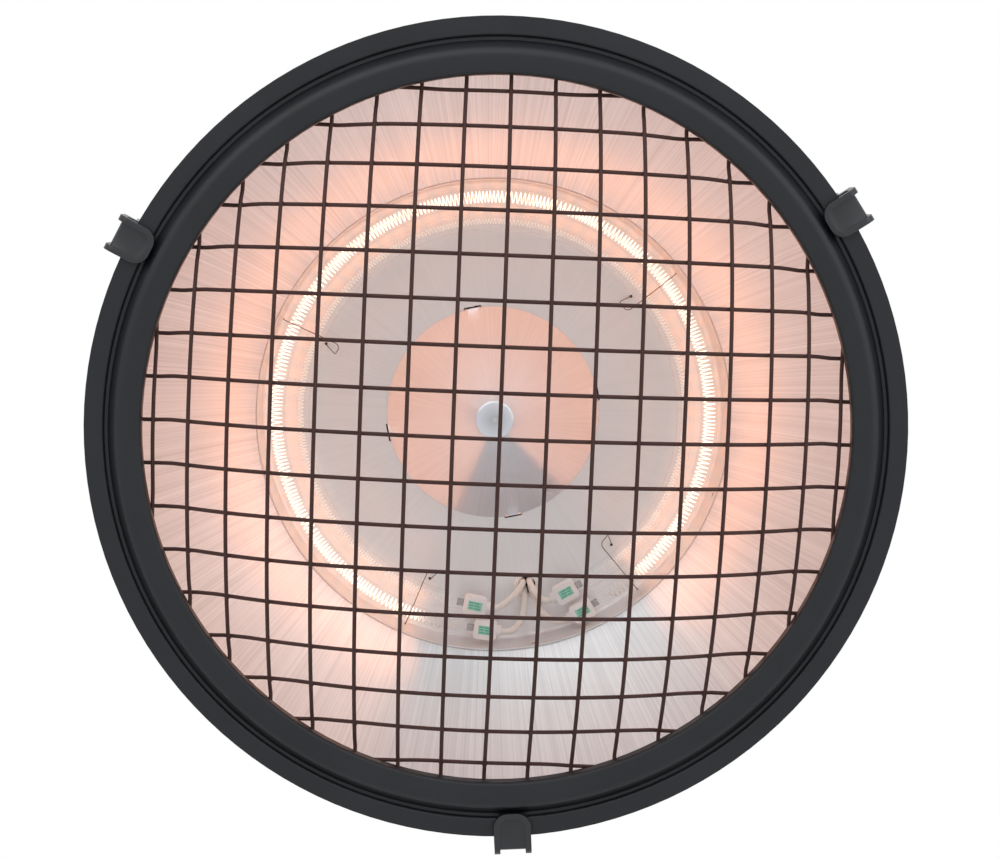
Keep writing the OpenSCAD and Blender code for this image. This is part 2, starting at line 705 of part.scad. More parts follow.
module thermal_cutout() color(ceramic) {
    above_rim(pan_back_h) rotate([0, 0, gap_dir + 180]) translate([cutout_off, 0, 0]) {
        cylinder(r = cutout_r, h = 8, $fn = 48);
        linear_extrude(1) slot_shape(cutout_r * 3.4, cutout_r);
        for (s = [-1, 1])
            translate([-cutout_r - 4, s * blade_y - blade_w / 2, blade_top_h - pan_back_h - blade_t])
                cube([7, blade_w, blade_t]);
    }
}

module cutout_leads() color(ceramic) {
    out = [cos(gap_dir), sin(gap_dir), 0];
    side = [-out.y, out.x, 0];
    above_rim() for (s = [-1, 1]) {
        from = out * (block_off + 2) + side * s * pole_pitch / 2 + [0, 0, pole_h];
        to = -out * (cutout_off - cutout_r - 1.5) + side * s * blade_y
            + [0, 0, blade_top_h + jumper_r + seat];
        path = bezier(from, from - out * 40, to + out * 40, to, 8);
        tube(path, carried(path, [0, 0, 1]), jumper_r, 8);
    }
}

// Ring lamps. side is 0 for the end past gap_dir and 1 for the other end.
function end_angle(ends, side) = side == 0 ? gap_dir + ends[0] : gap_dir - ends[1];
function end_way(ends, side) = let (a = end_angle(ends, side), s = side == 0 ? 1 : -1)
    [s * sin(a), -s * cos(a), 0];
module at_lamp_end(r, ends, side) {
    a = end_angle(ends, side);
    above_rim(lamp_h) translate(polar(r, a)) rotate([0, 0, side == 0 ? a - 90 : a + 90]) children();
}

module lamp_tube(r, ends) {
    from = gap_dir + ends[0];
    sweep = 360 - ends[0] - ends[1];
    difference() {
        union() {
            above_rim(lamp_h) rotate([0, 0, from]) rotate_extrude(angle = sweep, $fn = round_fn)
                translate([r, 0]) circle(r = tube_r, $fn = small_fn);
            for (side = [0, 1]) at_lamp_end(r, ends, side)
                translate([-0.5, -pinch_w / 2, -pinch_t / 2]) cube([pinch_l + 0.5, pinch_w, pinch_t]);
        }
        above_rim(lamp_h) rotate([0, 0, from + neck_deg])
            rotate_extrude(angle = sweep - 2 * neck_deg, $fn = round_fn)
                translate([r, 0]) circle(r = bore_r, $fn = small_fn);
    }
}

// The coil winds round the tube's centre line, then runs straight to both ends
function coil_path(r, ends, curls) =
    let (from = gap_dir + ends[0] + neck_deg, to = gap_dir + 360 - ends[1] - neck_deg,
        tail = (coil_wire_d * 2) / r * 180 / PI, c = (coil_d - coil_wire_d) / 2, n = curls * 8,
        a0 = from + tail, a1 = to - tail)
    concat([polar(r, from, 0)], [for (i = [0 : n]) let (s = i / n, a = a0 + (a1 - a0) * s,
        grow = min(1, min(i, n - i) / 8), b = 360 * i / 8)
        polar(r + c * grow * cos(b), a, c * grow * sin(b))], [polar(r, to, 0)]);
function coil_normals(p, r) = [for (i = [0 : len(p) - 1])
    let (k = max(0, min(i - 1, len(p) - 3)), a = atan2(p[i].y, p[i].x))
    cos(45 * k) * [cos(a), sin(a), 0] + sin(45 * k) * [0, 0, 1]];
function least_gap(p) =
    min([for (i = [1 : len(p) - 14], j = [i + 5 : i + 11]) norm(p[i] - p[j])]) - coil_wire_d;

module filament(r, ends, curls) {
    path = coil_path(r, ends, curls);
    echo(least_gap = least_gap(path));
    above_rim(lamp_h) tube(path, coil_normals(path, r), coil_wire_d / 2, 6);
}

module lamp_caps(r, ends) {
    for (side = [0, 1]) at_lamp_end(r, ends, side) difference() {
        union() {
            translate([cap_off + cap_l / 2, 0, -cap_t / 2]) linear_extrude(cap_t)
                round_rect(cap_l, cap_w, cap_corner);
            translate([cap_off + cap_l - 1, 0, 0]) rotate([0, 90, 0])
                cylinder(r = lead_r + cap_collar_wall, h = cap_collar_l + 1, $fn = small_fn);
        }
        translate([cap_off - 1, -pinch_w / 2 - seat, -pinch_t / 2 - seat])
            cube([pinch_l - cap_off + 1 + seat, pinch_w + 2 * seat, pinch_t + 2 * seat]);
        translate([pinch_l + seat + cap_bore_off, 0, 0]) rotate([0, 90, 0])
            cylinder(r = lead_r + lead_fit, h = cap_l, $fn = small_fn);
    }
}

module outer_lamp_tube() color(quartz) lamp_tube(outer_lamp_r, outer_ends);
module inner_lamp_tube() color(quartz) lamp_tube(inner_lamp_r, inner_ends);
module outer_filament() color(tungsten) filament(outer_lamp_r, outer_ends, outer_curls);
module inner_filament() color(tungsten) filament(inner_lamp_r, inner_ends, inner_curls);
module outer_lamp_caps() color(ceramic) lamp_caps(outer_lamp_r, outer_ends);
module inner_lamp_caps() color(ceramic) lamp_caps(inner_lamp_r, inner_ends);

// Each lead runs from its cap through the bushing to a pole of the terminal block.
// row and column are its place in the bushing.
module lamp_lead(r, ends, side, row, column, pole, bend) {
    out = [cos(gap_dir), sin(gap_dir), 0];
    across = [-out.y, out.x, 0];
    along = end_way(ends, side);
    start = polar(r, end_angle(ends, side), lamp_h) + along * (cap_off + cap_l);
    hole = out * (bushing_off + row * hole_pitch) + across * column * hole_pitch;
    below = hole + [0, 0, plate_h - lead_end];
    over = hole + [0, 0, pan_back_h + lead_end];
    post = out * (block_off + block_w) + across * pole_y(pole) + [0, 0, pole_h];
    row_bend = row_bends[row > 0 ? 1 : 0];
    path = concat([start - along * 1.5],
        bezier(start + along * lead_end, start + along * bend[0], below - [0, 0, bend[1]], below, 8),
        bezier(over, over + [0, 0, row_bend[0]], post + out * row_bend[1], post + out * 2, 8),
        [post - out * lead_end]);
    tube(path, carried(path, out), lead_r, 8);
}

module lamp_leads() color(ceramic) above_rim() {
    lamp_lead(outer_lamp_r, outer_ends, 0, 1, 1, 3, outer_bend);
    lamp_lead(inner_lamp_r, inner_ends, 0, -1, 1, 2, inner_bends[0]);
    lamp_lead(outer_lamp_r, outer_ends, 1, 1, -1, 0, outer_bend);
    lamp_lead(inner_lamp_r, inner_ends, 1, -1, -1, 1, inner_bends[1]);
}

module lead_bushing() color(ceramic) {
    waist = bushing_r + bushing_wall;
    lip = waist + bushing_lip;
    above_rim() translate(polar(bushing_off, gap_dir)) rotate_extrude($fn = 48)
        polygon([[bushing_r, plate_h - 1.6], [lip - 0.8, plate_h - 1.6], [lip, plate_h - 0.8],
            [lip, plate_h], [waist, plate_h], [waist, pan_back_h], [lip - 0.4, pan_back_h],
            [lip - 0.4, pan_back_h + 1.2], [bushing_r, pan_back_h + 1.2]]);
}

// A spring wire goes up through the pan and runs under both tubes
module lamp_supports() color(steel) above_rim() {
    under = lamp_h - tube_r - support_r - 0.2;
    far = outer_lamp_r + tube_r + support_r + 1.2;
    near = inner_lamp_r - tube_r - 9;
    flat = bend_path([[support_hole_off, pan_back_h + 4], [support_hole_off, plate_h - 3],
        [near + 1, lamp_h + 4], [near, under], [far - 1, under], [far, lamp_h - 2],
        [far, lamp_h + 4]], [0, 3, 4, 3, 3, 3, 0], 2);
    for (a = support_dirs) {
        path = [for (p = flat) polar(p.x, a, p.y)];
        tube(path, [for (p = path) [-sin(a), cos(a), 0]], support_r, 6);
    }
}

// Guard
module guard_ring() color(charcoal) {
    path = bend_path([[rim_r, guard_mid_h], [spigot_r, guard_mid_h], [spigot_r - 0.3, ledge_h],
        [face_r + face_run, ledge_h], [face_r, -face_drop], [guard_lip_r, 1.2 - face_drop],
        [guard_lip_r, guard_lip_h]], [0, 1, 1, 1.2, face_bend, 1.6, 0], 5);
    above_rim() rotate_extrude($fn = round_fn) polygon(sheet(path, sheet_t));
}

module guard_retainer() color(charcoal) {
    path = bend_path([[guard_lip_r + 0.6, retainer_h], [retainer_leg_r, retainer_h],
        [retainer_leg_r, ledge_h + sheet_t / 2]], [0, 1.2, 0], 3);
    above_rim() rotate_extrude($fn = round_fn) polygon(sheet(path, sheet_t));
}

// Height of the dome's middle surface above its crown, and its slope, at radius r
function dome_h(r) = r < crown_r ? crown_curve - sqrt(crown_curve * crown_curve - r * r)
    : r < knuckle_r ? crown_rise + knuckle_curve * (cos(crown_slope) - cos(dome_slope(r)))
    : r < dome_edge_r ? dome_rise - flare_curve * (1 - cos(dome_slope(r))) : dome_rise;
function dome_slope(r) = r < crown_r ? asin(r / crown_curve)
    : r < knuckle_r ? asin(sin(crown_slope) + (r - crown_r) / knuckle_curve)
    : r < dome_edge_r ? asin((dome_edge_r - r) / flare_curve) : 0;
// Radius at the distance s from the crown along the dome
function dome_r(s) = s < crown_arc ? crown_curve * sin(s / crown_curve * 180 / PI)
    : s < knuckle_arc ? crown_r + knuckle_curve
        * (sin(crown_slope + (s - crown_arc) / knuckle_curve * 180 / PI) - sin(crown_slope))
    : s < dome_arc ? dome_edge_r
        - flare_curve * sin(edge_slope - (s - knuckle_arc) / flare_curve * 180 / PI)
    : dome_edge_r + s - dome_arc;
function dome_point(x, y) = [x, y, mesh_h - dome_rise + dome_h(norm([x, y]))];
function dome_normal(x, y) = let (r = max(norm([x, y]), 0.001), a = dome_slope(r))
    [-sin(a) * x / r, -sin(a) * y / r, cos(a)];

// Plan position of the mesh point that lies u and v along the dome from the crown
function plan_share(s) = abs(s) < 0.001 ? 1 : dome_r(abs(s)) / abs(s);
function pressed(u, v) = let (round_share = plan_share(norm([u, v])))
    [for (w = [u, v]) w * (draw_in * round_share + (1 - draw_in) * plan_share(w))];
// How far along the wire at u the plan radius reaches r
function wire_reach(u, r, low = 0, high = 2 * spigot_r, n = 24) = let (v = (low + high) / 2)
    n == 0 ? v : norm(pressed(u, v)) < r ? wire_reach(u, r, v, high, n - 1)
    : wire_reach(u, r, low, v, n - 1);

// One wire of a layer, bent to the dome where it crosses the wires of the other layer
module guard_wire(u, step, off) {
    half = concat(
        [for (m = [1 : floor(wire_room / step)]) if (norm(pressed(u, m * step)) < knuckle_r - 3) m * step],
        [for (r = [knuckle_r, dome_edge_r]) if (norm(pressed(u, 0)) < r - 1) wire_reach(u, r)],
        [wire_reach(u, wire_end_r)]);
    places = [for (v = concat([for (v = reverse(half)) -v], [0], half)) pressed(u, v)];
    points = [for (p = places) dome_point(p.x, p.y) + off * dome_normal(p.x, p.y)];
    tube(points, [for (p = places) dome_normal(p.x, p.y)], guard_wire_r, 6);
}

module guard_wires(pitch, step, off) {
    each_side = floor(wire_room / pitch);
    for (n = [-each_side : each_side])
        guard_wire(n * pitch, step, off);
}

module guard_wires_lengthwise() color(charcoal)
    above_rim() rotate([0, 0, mesh_turn]) guard_wires(wire_pitch, cross_pitch, -layer_off);
module guard_wires_crosswise() color(charcoal)
    above_rim() rotate([0, 0, mesh_turn - 90]) guard_wires(cross_pitch, wire_pitch, layer_off);

// Clips: a horseshoe channel that hooks both rim flanges and swings out on its pin
module at_clip(i) above_rim() rotate([0, 0, clip_angle + i * 360 / clip_count]) children();
module rivet_places(r) for (i = [0 : clip_count - 1]) at_clip(i)
    for (h = rivet_heights) translate([r, 0, h]) rotate([0, 90, 0]) children();

// Plan of the clip's floor, inset by d, with its round inner end
module jaw_plan(d) {
    r = clip_w / 2 - 2.5 - d;
    y = 2.5;
    x = jaw_in_r + d + r;
    translate([x, -clip_w / 2 + d]) square([web_in_r - x, clip_w - 2 * d]);
    translate([jaw_in_r + d, -y]) square([r + 1, 2 * y]);
    for (s = [-1, 1]) translate([x, s * y]) circle(r = r, $fn = 48);
}

module clip() color(charcoal) {
    mid_h = jaw_top_h - clip_t / 2;
    web_mid = web_in_r + clip_t / 2;
    low = jaw_low_h - border_t;
    out = web_out_r + border_t;
    turn = 3;
    strap = bend_path([[web_in_r - 4, mid_h], [web_mid, mid_h], [web_mid, clip_top_h]], [0, turn, 0], 5);
    side = bend_path([[web_in_r - 6, low], [out, low], [out, clip_top_h]], [0, turn + border_t, 0], 5);
    inner = bend_path([[web_in_r - 6, jaw_low_h + 0.2], [web_out_r - 0.2, jaw_low_h + 0.2],
        [web_out_r - 0.2, clip_top_h]], [0, turn, 0], 5);
    difference() {
        union() {
            translate([0, 0, jaw_low_h]) linear_extrude(clip_t) jaw_plan(0);
            translate([0, 0, low]) linear_extrude(border_t + 0.2) difference() {
                jaw_plan(0);
                jaw_plan(border_w);
                translate([web_in_r - 5, -clip_w]) square([10, 2 * clip_w]);
            }
            rotate([90, 0, 0]) linear_extrude(clip_w, center = true) polygon(sheet(strap, clip_t));
            for (s = [-1, 1]) translate([0, s * (clip_w - border_w) / 2, 0]) rotate([90, 0, 0])
                linear_extrude(border_w, center = true) polygon(concat(side, reverse(inner)));
            for (s = [-1, 1]) translate([0, s * (clip_w - clip_t) / 2, 0]) rotate([90, 0, 0])
                linear_extrude(clip_t, center = true) {
                    translate([pivot_r, pivot_h]) circle(r = cheek_r, $fn = 48);
                    translate([pivot_r, pivot_h - cheek_r])
                        square([web_mid - pivot_r, cheek_r + clip_top_h - pivot_h]);
                }
        }
        translate([pivot_r, 0, pivot_h]) rotate([90, 0, 0])
            cylinder(r = pin_r + run, h = clip_w * 2, center = true, $fn = 48);
    }
}

module clip_bracket() color(charcoal) {
    half = asin((ear_in + ear_t + 3) / skirt_out_r);
    rise = bracket_high_h - bracket_low_h;
    difference() {
        union() {
            rotate([0, 0, -half]) rotate_extrude(angle = 2 * half, $fn = round_fn)
                translate([skirt_out_r + run, bracket_low_h]) square([bracket_t, rise]);
            for (s = [-1, 1]) translate([0, s * (ear_in + ear_t / 2), 0]) rotate([90, 0, 0])
                linear_extrude(ear_t, center = true) {
                    translate([pivot_r, pivot_h]) circle(r = ear_r, $fn = 48);
                    polygon([[skirt_out_r + bracket_t / 2, bracket_low_h + 2], [pivot_r, pivot_h - ear_r],
                        [pivot_r, pivot_h + ear_r], [skirt_out_r + bracket_t / 2, pivot_h + ear_r]]);
                }
        }
        translate([pivot_r, 0, pivot_h]) rotate([90, 0, 0])
            cylinder(r = pin_r + weld, h = clip_w * 2, center = true, $fn = 48);
        for (h = rivet_heights) translate([skirt_out_r - 2, 0, h]) rotate([0, 90, 0])
            cylinder(r = rivet_r + run, h = 6, $fn = small_fn);
    }
}

module clip_pin() color(steel) {
    head_t = 1;
    shank = clip_w + 2 * loose;
    translate([pivot_r, 0, pivot_h]) rotate([90, 0, 0]) {
        cylinder(r = pin_r, h = shank + head_t, center = true, $fn = 48);
        for (s = [-1, 1]) translate([0, 0, s * (shank + head_t) / 2])
            cylinder(r = pin_r + 0.8, h = head_t, center = true, $fn = 48);
    }
}

module bracket_rivets() color(steel) {
    grip = sheet_t + run + bracket_t;
    rivet_places(skirt_in_r) rotate_extrude($fn = small_fn)
        polygon([[0, 0], [rivet_r, 0], [rivet_r, grip], [rivet_r + rivet_head, grip],
            [rivet_r + rivet_head * 0.8, grip + rivet_head * 0.5], [rivet_r * 0.7, grip + rivet_head * 0.9],
            [0, grip + rivet_head]]);
}

module clip_1() at_clip(0) clip();
module clip_2() at_clip(1) clip();
module clip_3() at_clip(2) clip();
module clip_bracket_1() at_clip(0) clip_bracket();
module clip_bracket_2() at_clip(1) clip_bracket();
module clip_bracket_3() at_clip(2) clip_bracket();
module clip_pin_1() at_clip(0) clip_pin();
module clip_pin_2() at_clip(1) clip_pin();
module clip_pin_3() at_clip(2) clip_pin();

hang_ring();
eye_bolt();
stem_spacer();
stem_nut();
stem_washer();
top_housing();
housing_base();
housing_gasket();
housing_screws();
base_screws();
gland_body();
gland_seal();
gland_nut();
gland_locknut();
feed_grommet();
shade();
standoffs();
pan_screws();
terminal_block();
terminal_screws();
thermal_cutout();
cutout_leads();
outer_reflector();
reflector_screws();
reflector_pan();
pan_rivets();
centre_cone();
outer_lamp_tube();
inner_lamp_tube();
outer_filament();
inner_filament();
outer_lamp_caps();
inner_lamp_caps();
lamp_leads();
lead_bushing();
lamp_supports();
guard_ring();
guard_retainer();
guard_wires_lengthwise();
guard_wires_crosswise();
clip_1();
clip_2();
clip_3();
clip_bracket_1();
clip_bracket_2();
clip_bracket_3();
clip_pin_1();
clip_pin_2();
clip_pin_3();
bracket_rivets();
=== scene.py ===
# Hanging patio heater: finishes, wound and woven pieces, and the studio round them
import math
import bmesh
import bpy
import numpy as np
from mathutils import Matrix, Vector


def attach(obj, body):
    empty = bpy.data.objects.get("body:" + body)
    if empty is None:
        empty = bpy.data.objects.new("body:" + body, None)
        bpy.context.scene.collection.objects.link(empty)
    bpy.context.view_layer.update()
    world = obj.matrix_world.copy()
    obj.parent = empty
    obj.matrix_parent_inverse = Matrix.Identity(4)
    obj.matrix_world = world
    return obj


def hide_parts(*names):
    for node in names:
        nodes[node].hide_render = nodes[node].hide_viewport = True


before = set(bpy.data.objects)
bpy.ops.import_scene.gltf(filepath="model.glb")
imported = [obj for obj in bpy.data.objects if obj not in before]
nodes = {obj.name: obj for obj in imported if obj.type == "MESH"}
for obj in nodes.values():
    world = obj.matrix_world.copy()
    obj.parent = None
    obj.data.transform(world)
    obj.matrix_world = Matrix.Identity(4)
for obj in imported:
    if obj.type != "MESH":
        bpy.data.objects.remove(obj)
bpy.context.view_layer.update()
mm = 0.001
print("frame loaded", len(nodes), "nodes")


# ---- node and material helpers

def setInputs(node, values):
    for key, value in values.items():
        node.inputs[key].default_value = value


def addNode(tree, kind, settings=None, values=None):
    node = tree.nodes.new(kind)
    for key, value in (settings or {}).items():
        setattr(node, key, value)
    setInputs(node, values or {})
    return node


def link(tree, source, output, target, socket):
    tree.links.new(source.outputs[output], target.inputs[socket])


def colour(value):
    return (*value, 1.0)


def startMaterial(name):
    material = bpy.data.materials.new(name)
    material.use_nodes = True
    tree = material.node_tree
    tree.nodes.clear()
    output = addNode(tree, "ShaderNodeOutputMaterial")
    shader = addNode(tree, "ShaderNodeBsdfPrincipled")
    link(tree, shader, "BSDF", output, "Surface")
    place = addNode(tree, "ShaderNodeTexCoord")
    return material, tree, shader, place


def outputOf(tree):
    return [n for n in tree.nodes if n.type == "OUTPUT_MATERIAL"][0]


def noise(tree, place, scale, detail=4.0, rough=0.55, output="Object"):
    texture = addNode(tree, "ShaderNodeTexNoise", None, {
        "Scale": scale, "Detail": detail, "Roughness": rough})
    link(tree, place, output, texture, "Vector")
    return texture


def cells(tree, place, scale):
    texture = addNode(tree, "ShaderNodeTexVoronoi", None, {"Scale": scale})
    link(tree, place, "Object", texture, "Vector")
    return texture


def spread(tree, source, output, low, high, fromLow=0.3, fromHigh=0.7):
    # stretches a 0..1 texture to the range that a socket wants
    node = addNode(tree, "ShaderNodeMapRange", None, {
        "From Min": fromLow, "From Max": fromHigh, "To Min": low, "To Max": high})
    link(tree, source, output, node, "Value")
    return node


def maths(tree, kind, operation, sources):
    # a source is a node with the name of its output, or a plain value
    node = addNode(tree, kind, {"operation": operation})
    for socket, source in enumerate(sources):
        if isinstance(source, tuple) and isinstance(source[1], str):
            link(tree, source[0], source[1], node, socket)
        else:
            node.inputs[socket].default_value = source
    return node


def scalarMaths(tree, operation, *sources):
    return maths(tree, "ShaderNodeMath", operation, sources)


def vectorMaths(tree, operation, *sources):
    return maths(tree, "ShaderNodeVectorMath", operation, sources)


def blendColours(tree, factor, first, second):
    # a colour mix takes its colours at sockets 6 and 7 and gives its result at output 2
    node = addNode(tree, "ShaderNodeMix", {"data_type": "RGBA"}, {6: colour(first), 7: colour(second)})
    link(tree, factor, "Result", node, 0)
    return node


def multipliedColour(tree, first):
    node = addNode(tree, "ShaderNodeMix", {"data_type": "RGBA", "blend_type": "MULTIPLY"})
    link(tree, first, 2, node, 6)
    return node


def setTone(tree, shader, factor, first, second):
    link(tree, blendColours(tree, factor, first, second), 2, shader, "Base Color")


def setRoughness(tree, shader, texture, low, high):
    link(tree, spread(tree, texture, "Fac", low, high), "Result", shader, "Roughness")


def bump(tree, source, output, depth, strength, below=None):
    node = addNode(tree, "ShaderNodeBump", None, {"Strength": strength, "Distance": depth})
    link(tree, source, output, node, "Height")
    if below is not None:
        link(tree, below, "Normal", node, "Normal")
    return node


def setBumps(tree, shader, *layers):
    # the widest layer comes first: texture, output, depth, strength
    below = None
    for layer in layers:
        below = bump(tree, *layer, below)
    link(tree, below, "Normal", shader, "Normal")


def paintedSteel(name, look):
    material, tree, shader, place = startMaterial(name)
    tone = noise(tree, place, look["toneScale"], 3.0)
    grain = noise(tree, place, look["grainScale"], 2.0)
    peel = noise(tree, place, look["peelScale"], 2.0, 0.4)
    setTone(tree, shader, spread(tree, tone, "Fac", 0.0, 1.0), look["dark"], look["light"])
    setRoughness(tree, shader, grain, look["roughness"] - 0.06, look["roughness"] + 0.08)
    setBumps(tree, shader, (peel, "Fac", look["peelDepth"], 0.6), (grain, "Fac", look["grainDepth"], 0.7))
    setInputs(shader, {"Specular IOR Level": look["gloss"]})
    return material


def spunSheet(name, look):
    # streaks run out from the axis: the noise sees the direction finely and the radius coarsely
    material, tree, shader, place = startMaterial(name)
    flat = vectorMaths(tree, "MULTIPLY", (place, "Object"), (1.0, 1.0, 0.0))
    reach = vectorMaths(tree, "LENGTH", (flat, "Vector"))
    way = vectorMaths(tree, "NORMALIZE", (flat, "Vector"))
    fan = vectorMaths(tree, "SCALE", (way, "Vector"))
    setInputs(fan, {"Scale": look["streaks"]})
    along = scalarMaths(tree, "MULTIPLY", (reach, "Value"), look["breaks"])
    lift = addNode(tree, "ShaderNodeCombineXYZ")
    link(tree, along, "Value", lift, "Z")
    joined = vectorMaths(tree, "ADD", (fan, "Vector"), (lift, "Vector"))
    streak = noise(tree, joined, 1.0, 3.0, 0.6, "Vector")
    cloud = noise(tree, place, look["cloudScale"], 3.0)
    stain = noise(tree, place, look["stainScale"], 6.0, 0.7)
    ring = addNode(tree, "ShaderNodeCombineXYZ")
    link(tree, reach, "Value", ring, "X")
    grooves = noise(tree, ring, look["ringScale"], 3.0, 0.5, "Vector")

    # the streaks fade out toward the axis, where they would crowd
    calm = spread(tree, reach, "Value", 0.0, 1.0, *look["calm"])
    steady = scalarMaths(tree, "MULTIPLY", (streak, "Fac"), (calm, "Result"))
    factor = spread(tree, steady, "Value", 0.0, 1.0)
    tinted = multipliedColour(tree, blendColours(tree, factor, look["dark"], look["light"]))
    setInputs(tinted, {7: colour(look["stain"])})
    marks = spread(tree, stain, "Fac", 0.0, look["stainAmount"], 0.55, 0.75)
    link(tree, marks, "Result", tinted, 0)
    dimmed = multipliedColour(tree, tinted)
    setInputs(dimmed, {0: 1.0})
    tip = spread(tree, reach, "Value", look["tip"], 1.0, *look["tipReach"])
    link(tree, tip, "Result", dimmed, 7)
    link(tree, dimmed, 2, shader, "Base Color")

    rough = spread(tree, steady, "Value", look["roughness"], look["roughness"] + 0.02)
    haze = spread(tree, cloud, "Fac", 0.0, 0.03)
    both = scalarMaths(tree, "ADD", (rough, "Result"), (haze, "Result"))
    link(tree, both, "Value", shader, "Roughness")
    setBumps(tree, shader, (grooves, "Fac", look["ringDepth"], 0.5),
        (steady, "Value", look["streakDepth"], 0.6))
    setInputs(shader, {"Metallic": look["metal"], "Anisotropic": look["stretch"],
        "Anisotropic Rotation": 0.25})
    axis = addNode(tree, "ShaderNodeTangent", {"direction_type": "RADIAL", "axis": "Z"})
    link(tree, axis, "Tangent", shader, "Tangent")
    return material


def barMetal(name, look):
    # plated or bare fasteners: blotches in tone, fine scratches along Z
    material, tree, shader, place = startMaterial(name)
    stretch = addNode(tree, "ShaderNodeMapping", None, {"Scale": look["scratch"]})
    link(tree, place, "Object", stretch, "Vector")
    lines = noise(tree, stretch, 1.0, 4.0, 0.5, "Vector")
    grains = cells(tree, place, look["spangleScale"])
    tone = spread(tree, grains, "Distance", 0.0, 1.0, 0.0, 0.8)
    setTone(tree, shader, tone, look["dark"], look["light"])
    setRoughness(tree, shader, lines, look["roughness"] - 0.08, look["roughness"] + 0.1)
    setBumps(tree, shader, (lines, "Fac", look["depth"], 0.5))
    setInputs(shader, {"Metallic": look["metal"]})
    return material


def mouldedSkin(name, look):
    # ceramic, rubber, plastic and ink: mottled tone, fine pores
    material, tree, shader, place = startMaterial(name)
    tone = noise(tree, place, look["toneScale"], 4.0)
    pores = cells(tree, place, look["poreScale"])
    setTone(tree, shader, spread(tree, tone, "Fac", 0.0, 1.0), look["dark"], look["light"])
    setRoughness(tree, shader, tone, look["roughness"] - 0.08, look["roughness"] + 0.08)
    setBumps(tree, shader, (tone, "Fac", look["depth"] * 3, 0.4), (pores, "Distance", look["depth"], 0.5))
    setInputs(shader, {"Specular IOR Level": look["gloss"]})
    return material


def quartzGlass(name, look):
    # lamp light passes straight through the wall, so the glass casts only a faint shadow
    material, tree, shader, place = startMaterial(name)
    ripple = noise(tree, place, look["rippleScale"], 3.0)
    film = noise(tree, place, look["filmScale"], 4.0, 0.6)
    setRoughness(tree, shader, film, 0.0, look["roughness"])
    setTone(tree, shader, spread(tree, film, "Fac", 0.0, 1.0), look["clear"], look["milky"])
    setBumps(tree, shader, (ripple, "Fac", look["depth"], 0.4))
    setInputs(shader, {"Transmission Weight": 1.0, "IOR": look["index"], "Coat Weight": look["sheen"],
        "Coat Roughness": look["roughness"] * 2})
    through = addNode(tree, "ShaderNodeBsdfTransparent", None, {"Color": colour(look["shadow"])})
    choose = addNode(tree, "ShaderNodeMixShader")
    link(tree, addNode(tree, "ShaderNodeLightPath"), "Is Shadow Ray", choose, 0)
    link(tree, shader, "BSDF", choose, 1)
    link(tree, through, "BSDF", choose, 2)
    link(tree, choose, "Shader", outputOf(tree), "Surface")
    return material


def coilWire(name, look):
    # "along" runs 0..1 over the winding: the first and last turns stay cooler
    material, tree, shader, place = startMaterial(name)
    along = addNode(tree, "ShaderNodeAttribute", {"attribute_name": "along"})
    ends = addNode(tree, "ShaderNodeValToRGB")
    ramp = ends.color_ramp
    ramp.elements[0].position = look["coolStart"]
    ramp.elements[0].color = colour(look["cool"])
    ramp.elements[1].position = look["coolStart"] + look["warmUp"]
    ramp.elements[1].color = colour(look["hot"])
    later = ramp.elements.new(look["coolEnd"] - look["warmUp"])
    later.color = colour(look["hot"])
    last = ramp.elements.new(look["coolEnd"])
    last.color = colour(look["cool"])
    link(tree, along, "Fac", ends, "Fac")
    link(tree, ends, "Color", shader, "Emission Color")
    grain = noise(tree, place, look["grainScale"], 2.0)
    setTone(tree, shader, spread(tree, grain, "Fac", 0.0, 1.0), look["dark"], look["light"])
    setRoughness(tree, shader, grain, 0.3, 0.5)
    setBumps(tree, shader, (grain, "Fac", look["grainDepth"], 0.5))
    setInputs(shader, {"Metallic": look["metal"], "Emission Strength": look["strength"]})
    return material


def wovenSleeve(name, look):
    # two sets of strands cross round the sleeve, on the attributes that the wire tool stores
    material, tree, shader, place = startMaterial(name)
    along = addNode(tree, "ShaderNodeAttribute", {"attribute_name": "run"})
    about = addNode(tree, "ShaderNodeAttribute", {"attribute_name": "round"})
    turn = scalarMaths(tree, "MULTIPLY", (about, "Fac"), look["strands"] * 2 * math.pi)
    climb = scalarMaths(tree, "MULTIPLY", (along, "Fac"), 2 * math.pi / look["pitch"])
    waves = []
    for operation in ("ADD", "SUBTRACT"):
        phase = scalarMaths(tree, operation, (turn, "Value"), (climb, "Value"))
        waves.append((scalarMaths(tree, "SINE", (phase, "Value")), "Value"))
    weave = scalarMaths(tree, "MULTIPLY", *waves)
    fluff = noise(tree, place, look["fluffScale"], 4.0)
    tone = spread(tree, weave, "Value", 0.0, 1.0, -1.0, 1.0)
    setTone(tree, shader, tone, look["dark"], look["light"])
    setRoughness(tree, shader, fluff, 0.6, 0.85)
    setBumps(tree, shader, (weave, "Value", look["depth"], 0.8), (fluff, "Fac", look["depth"] * 0.4, 0.5))
    return material


# ---- looks, one set of values per finish

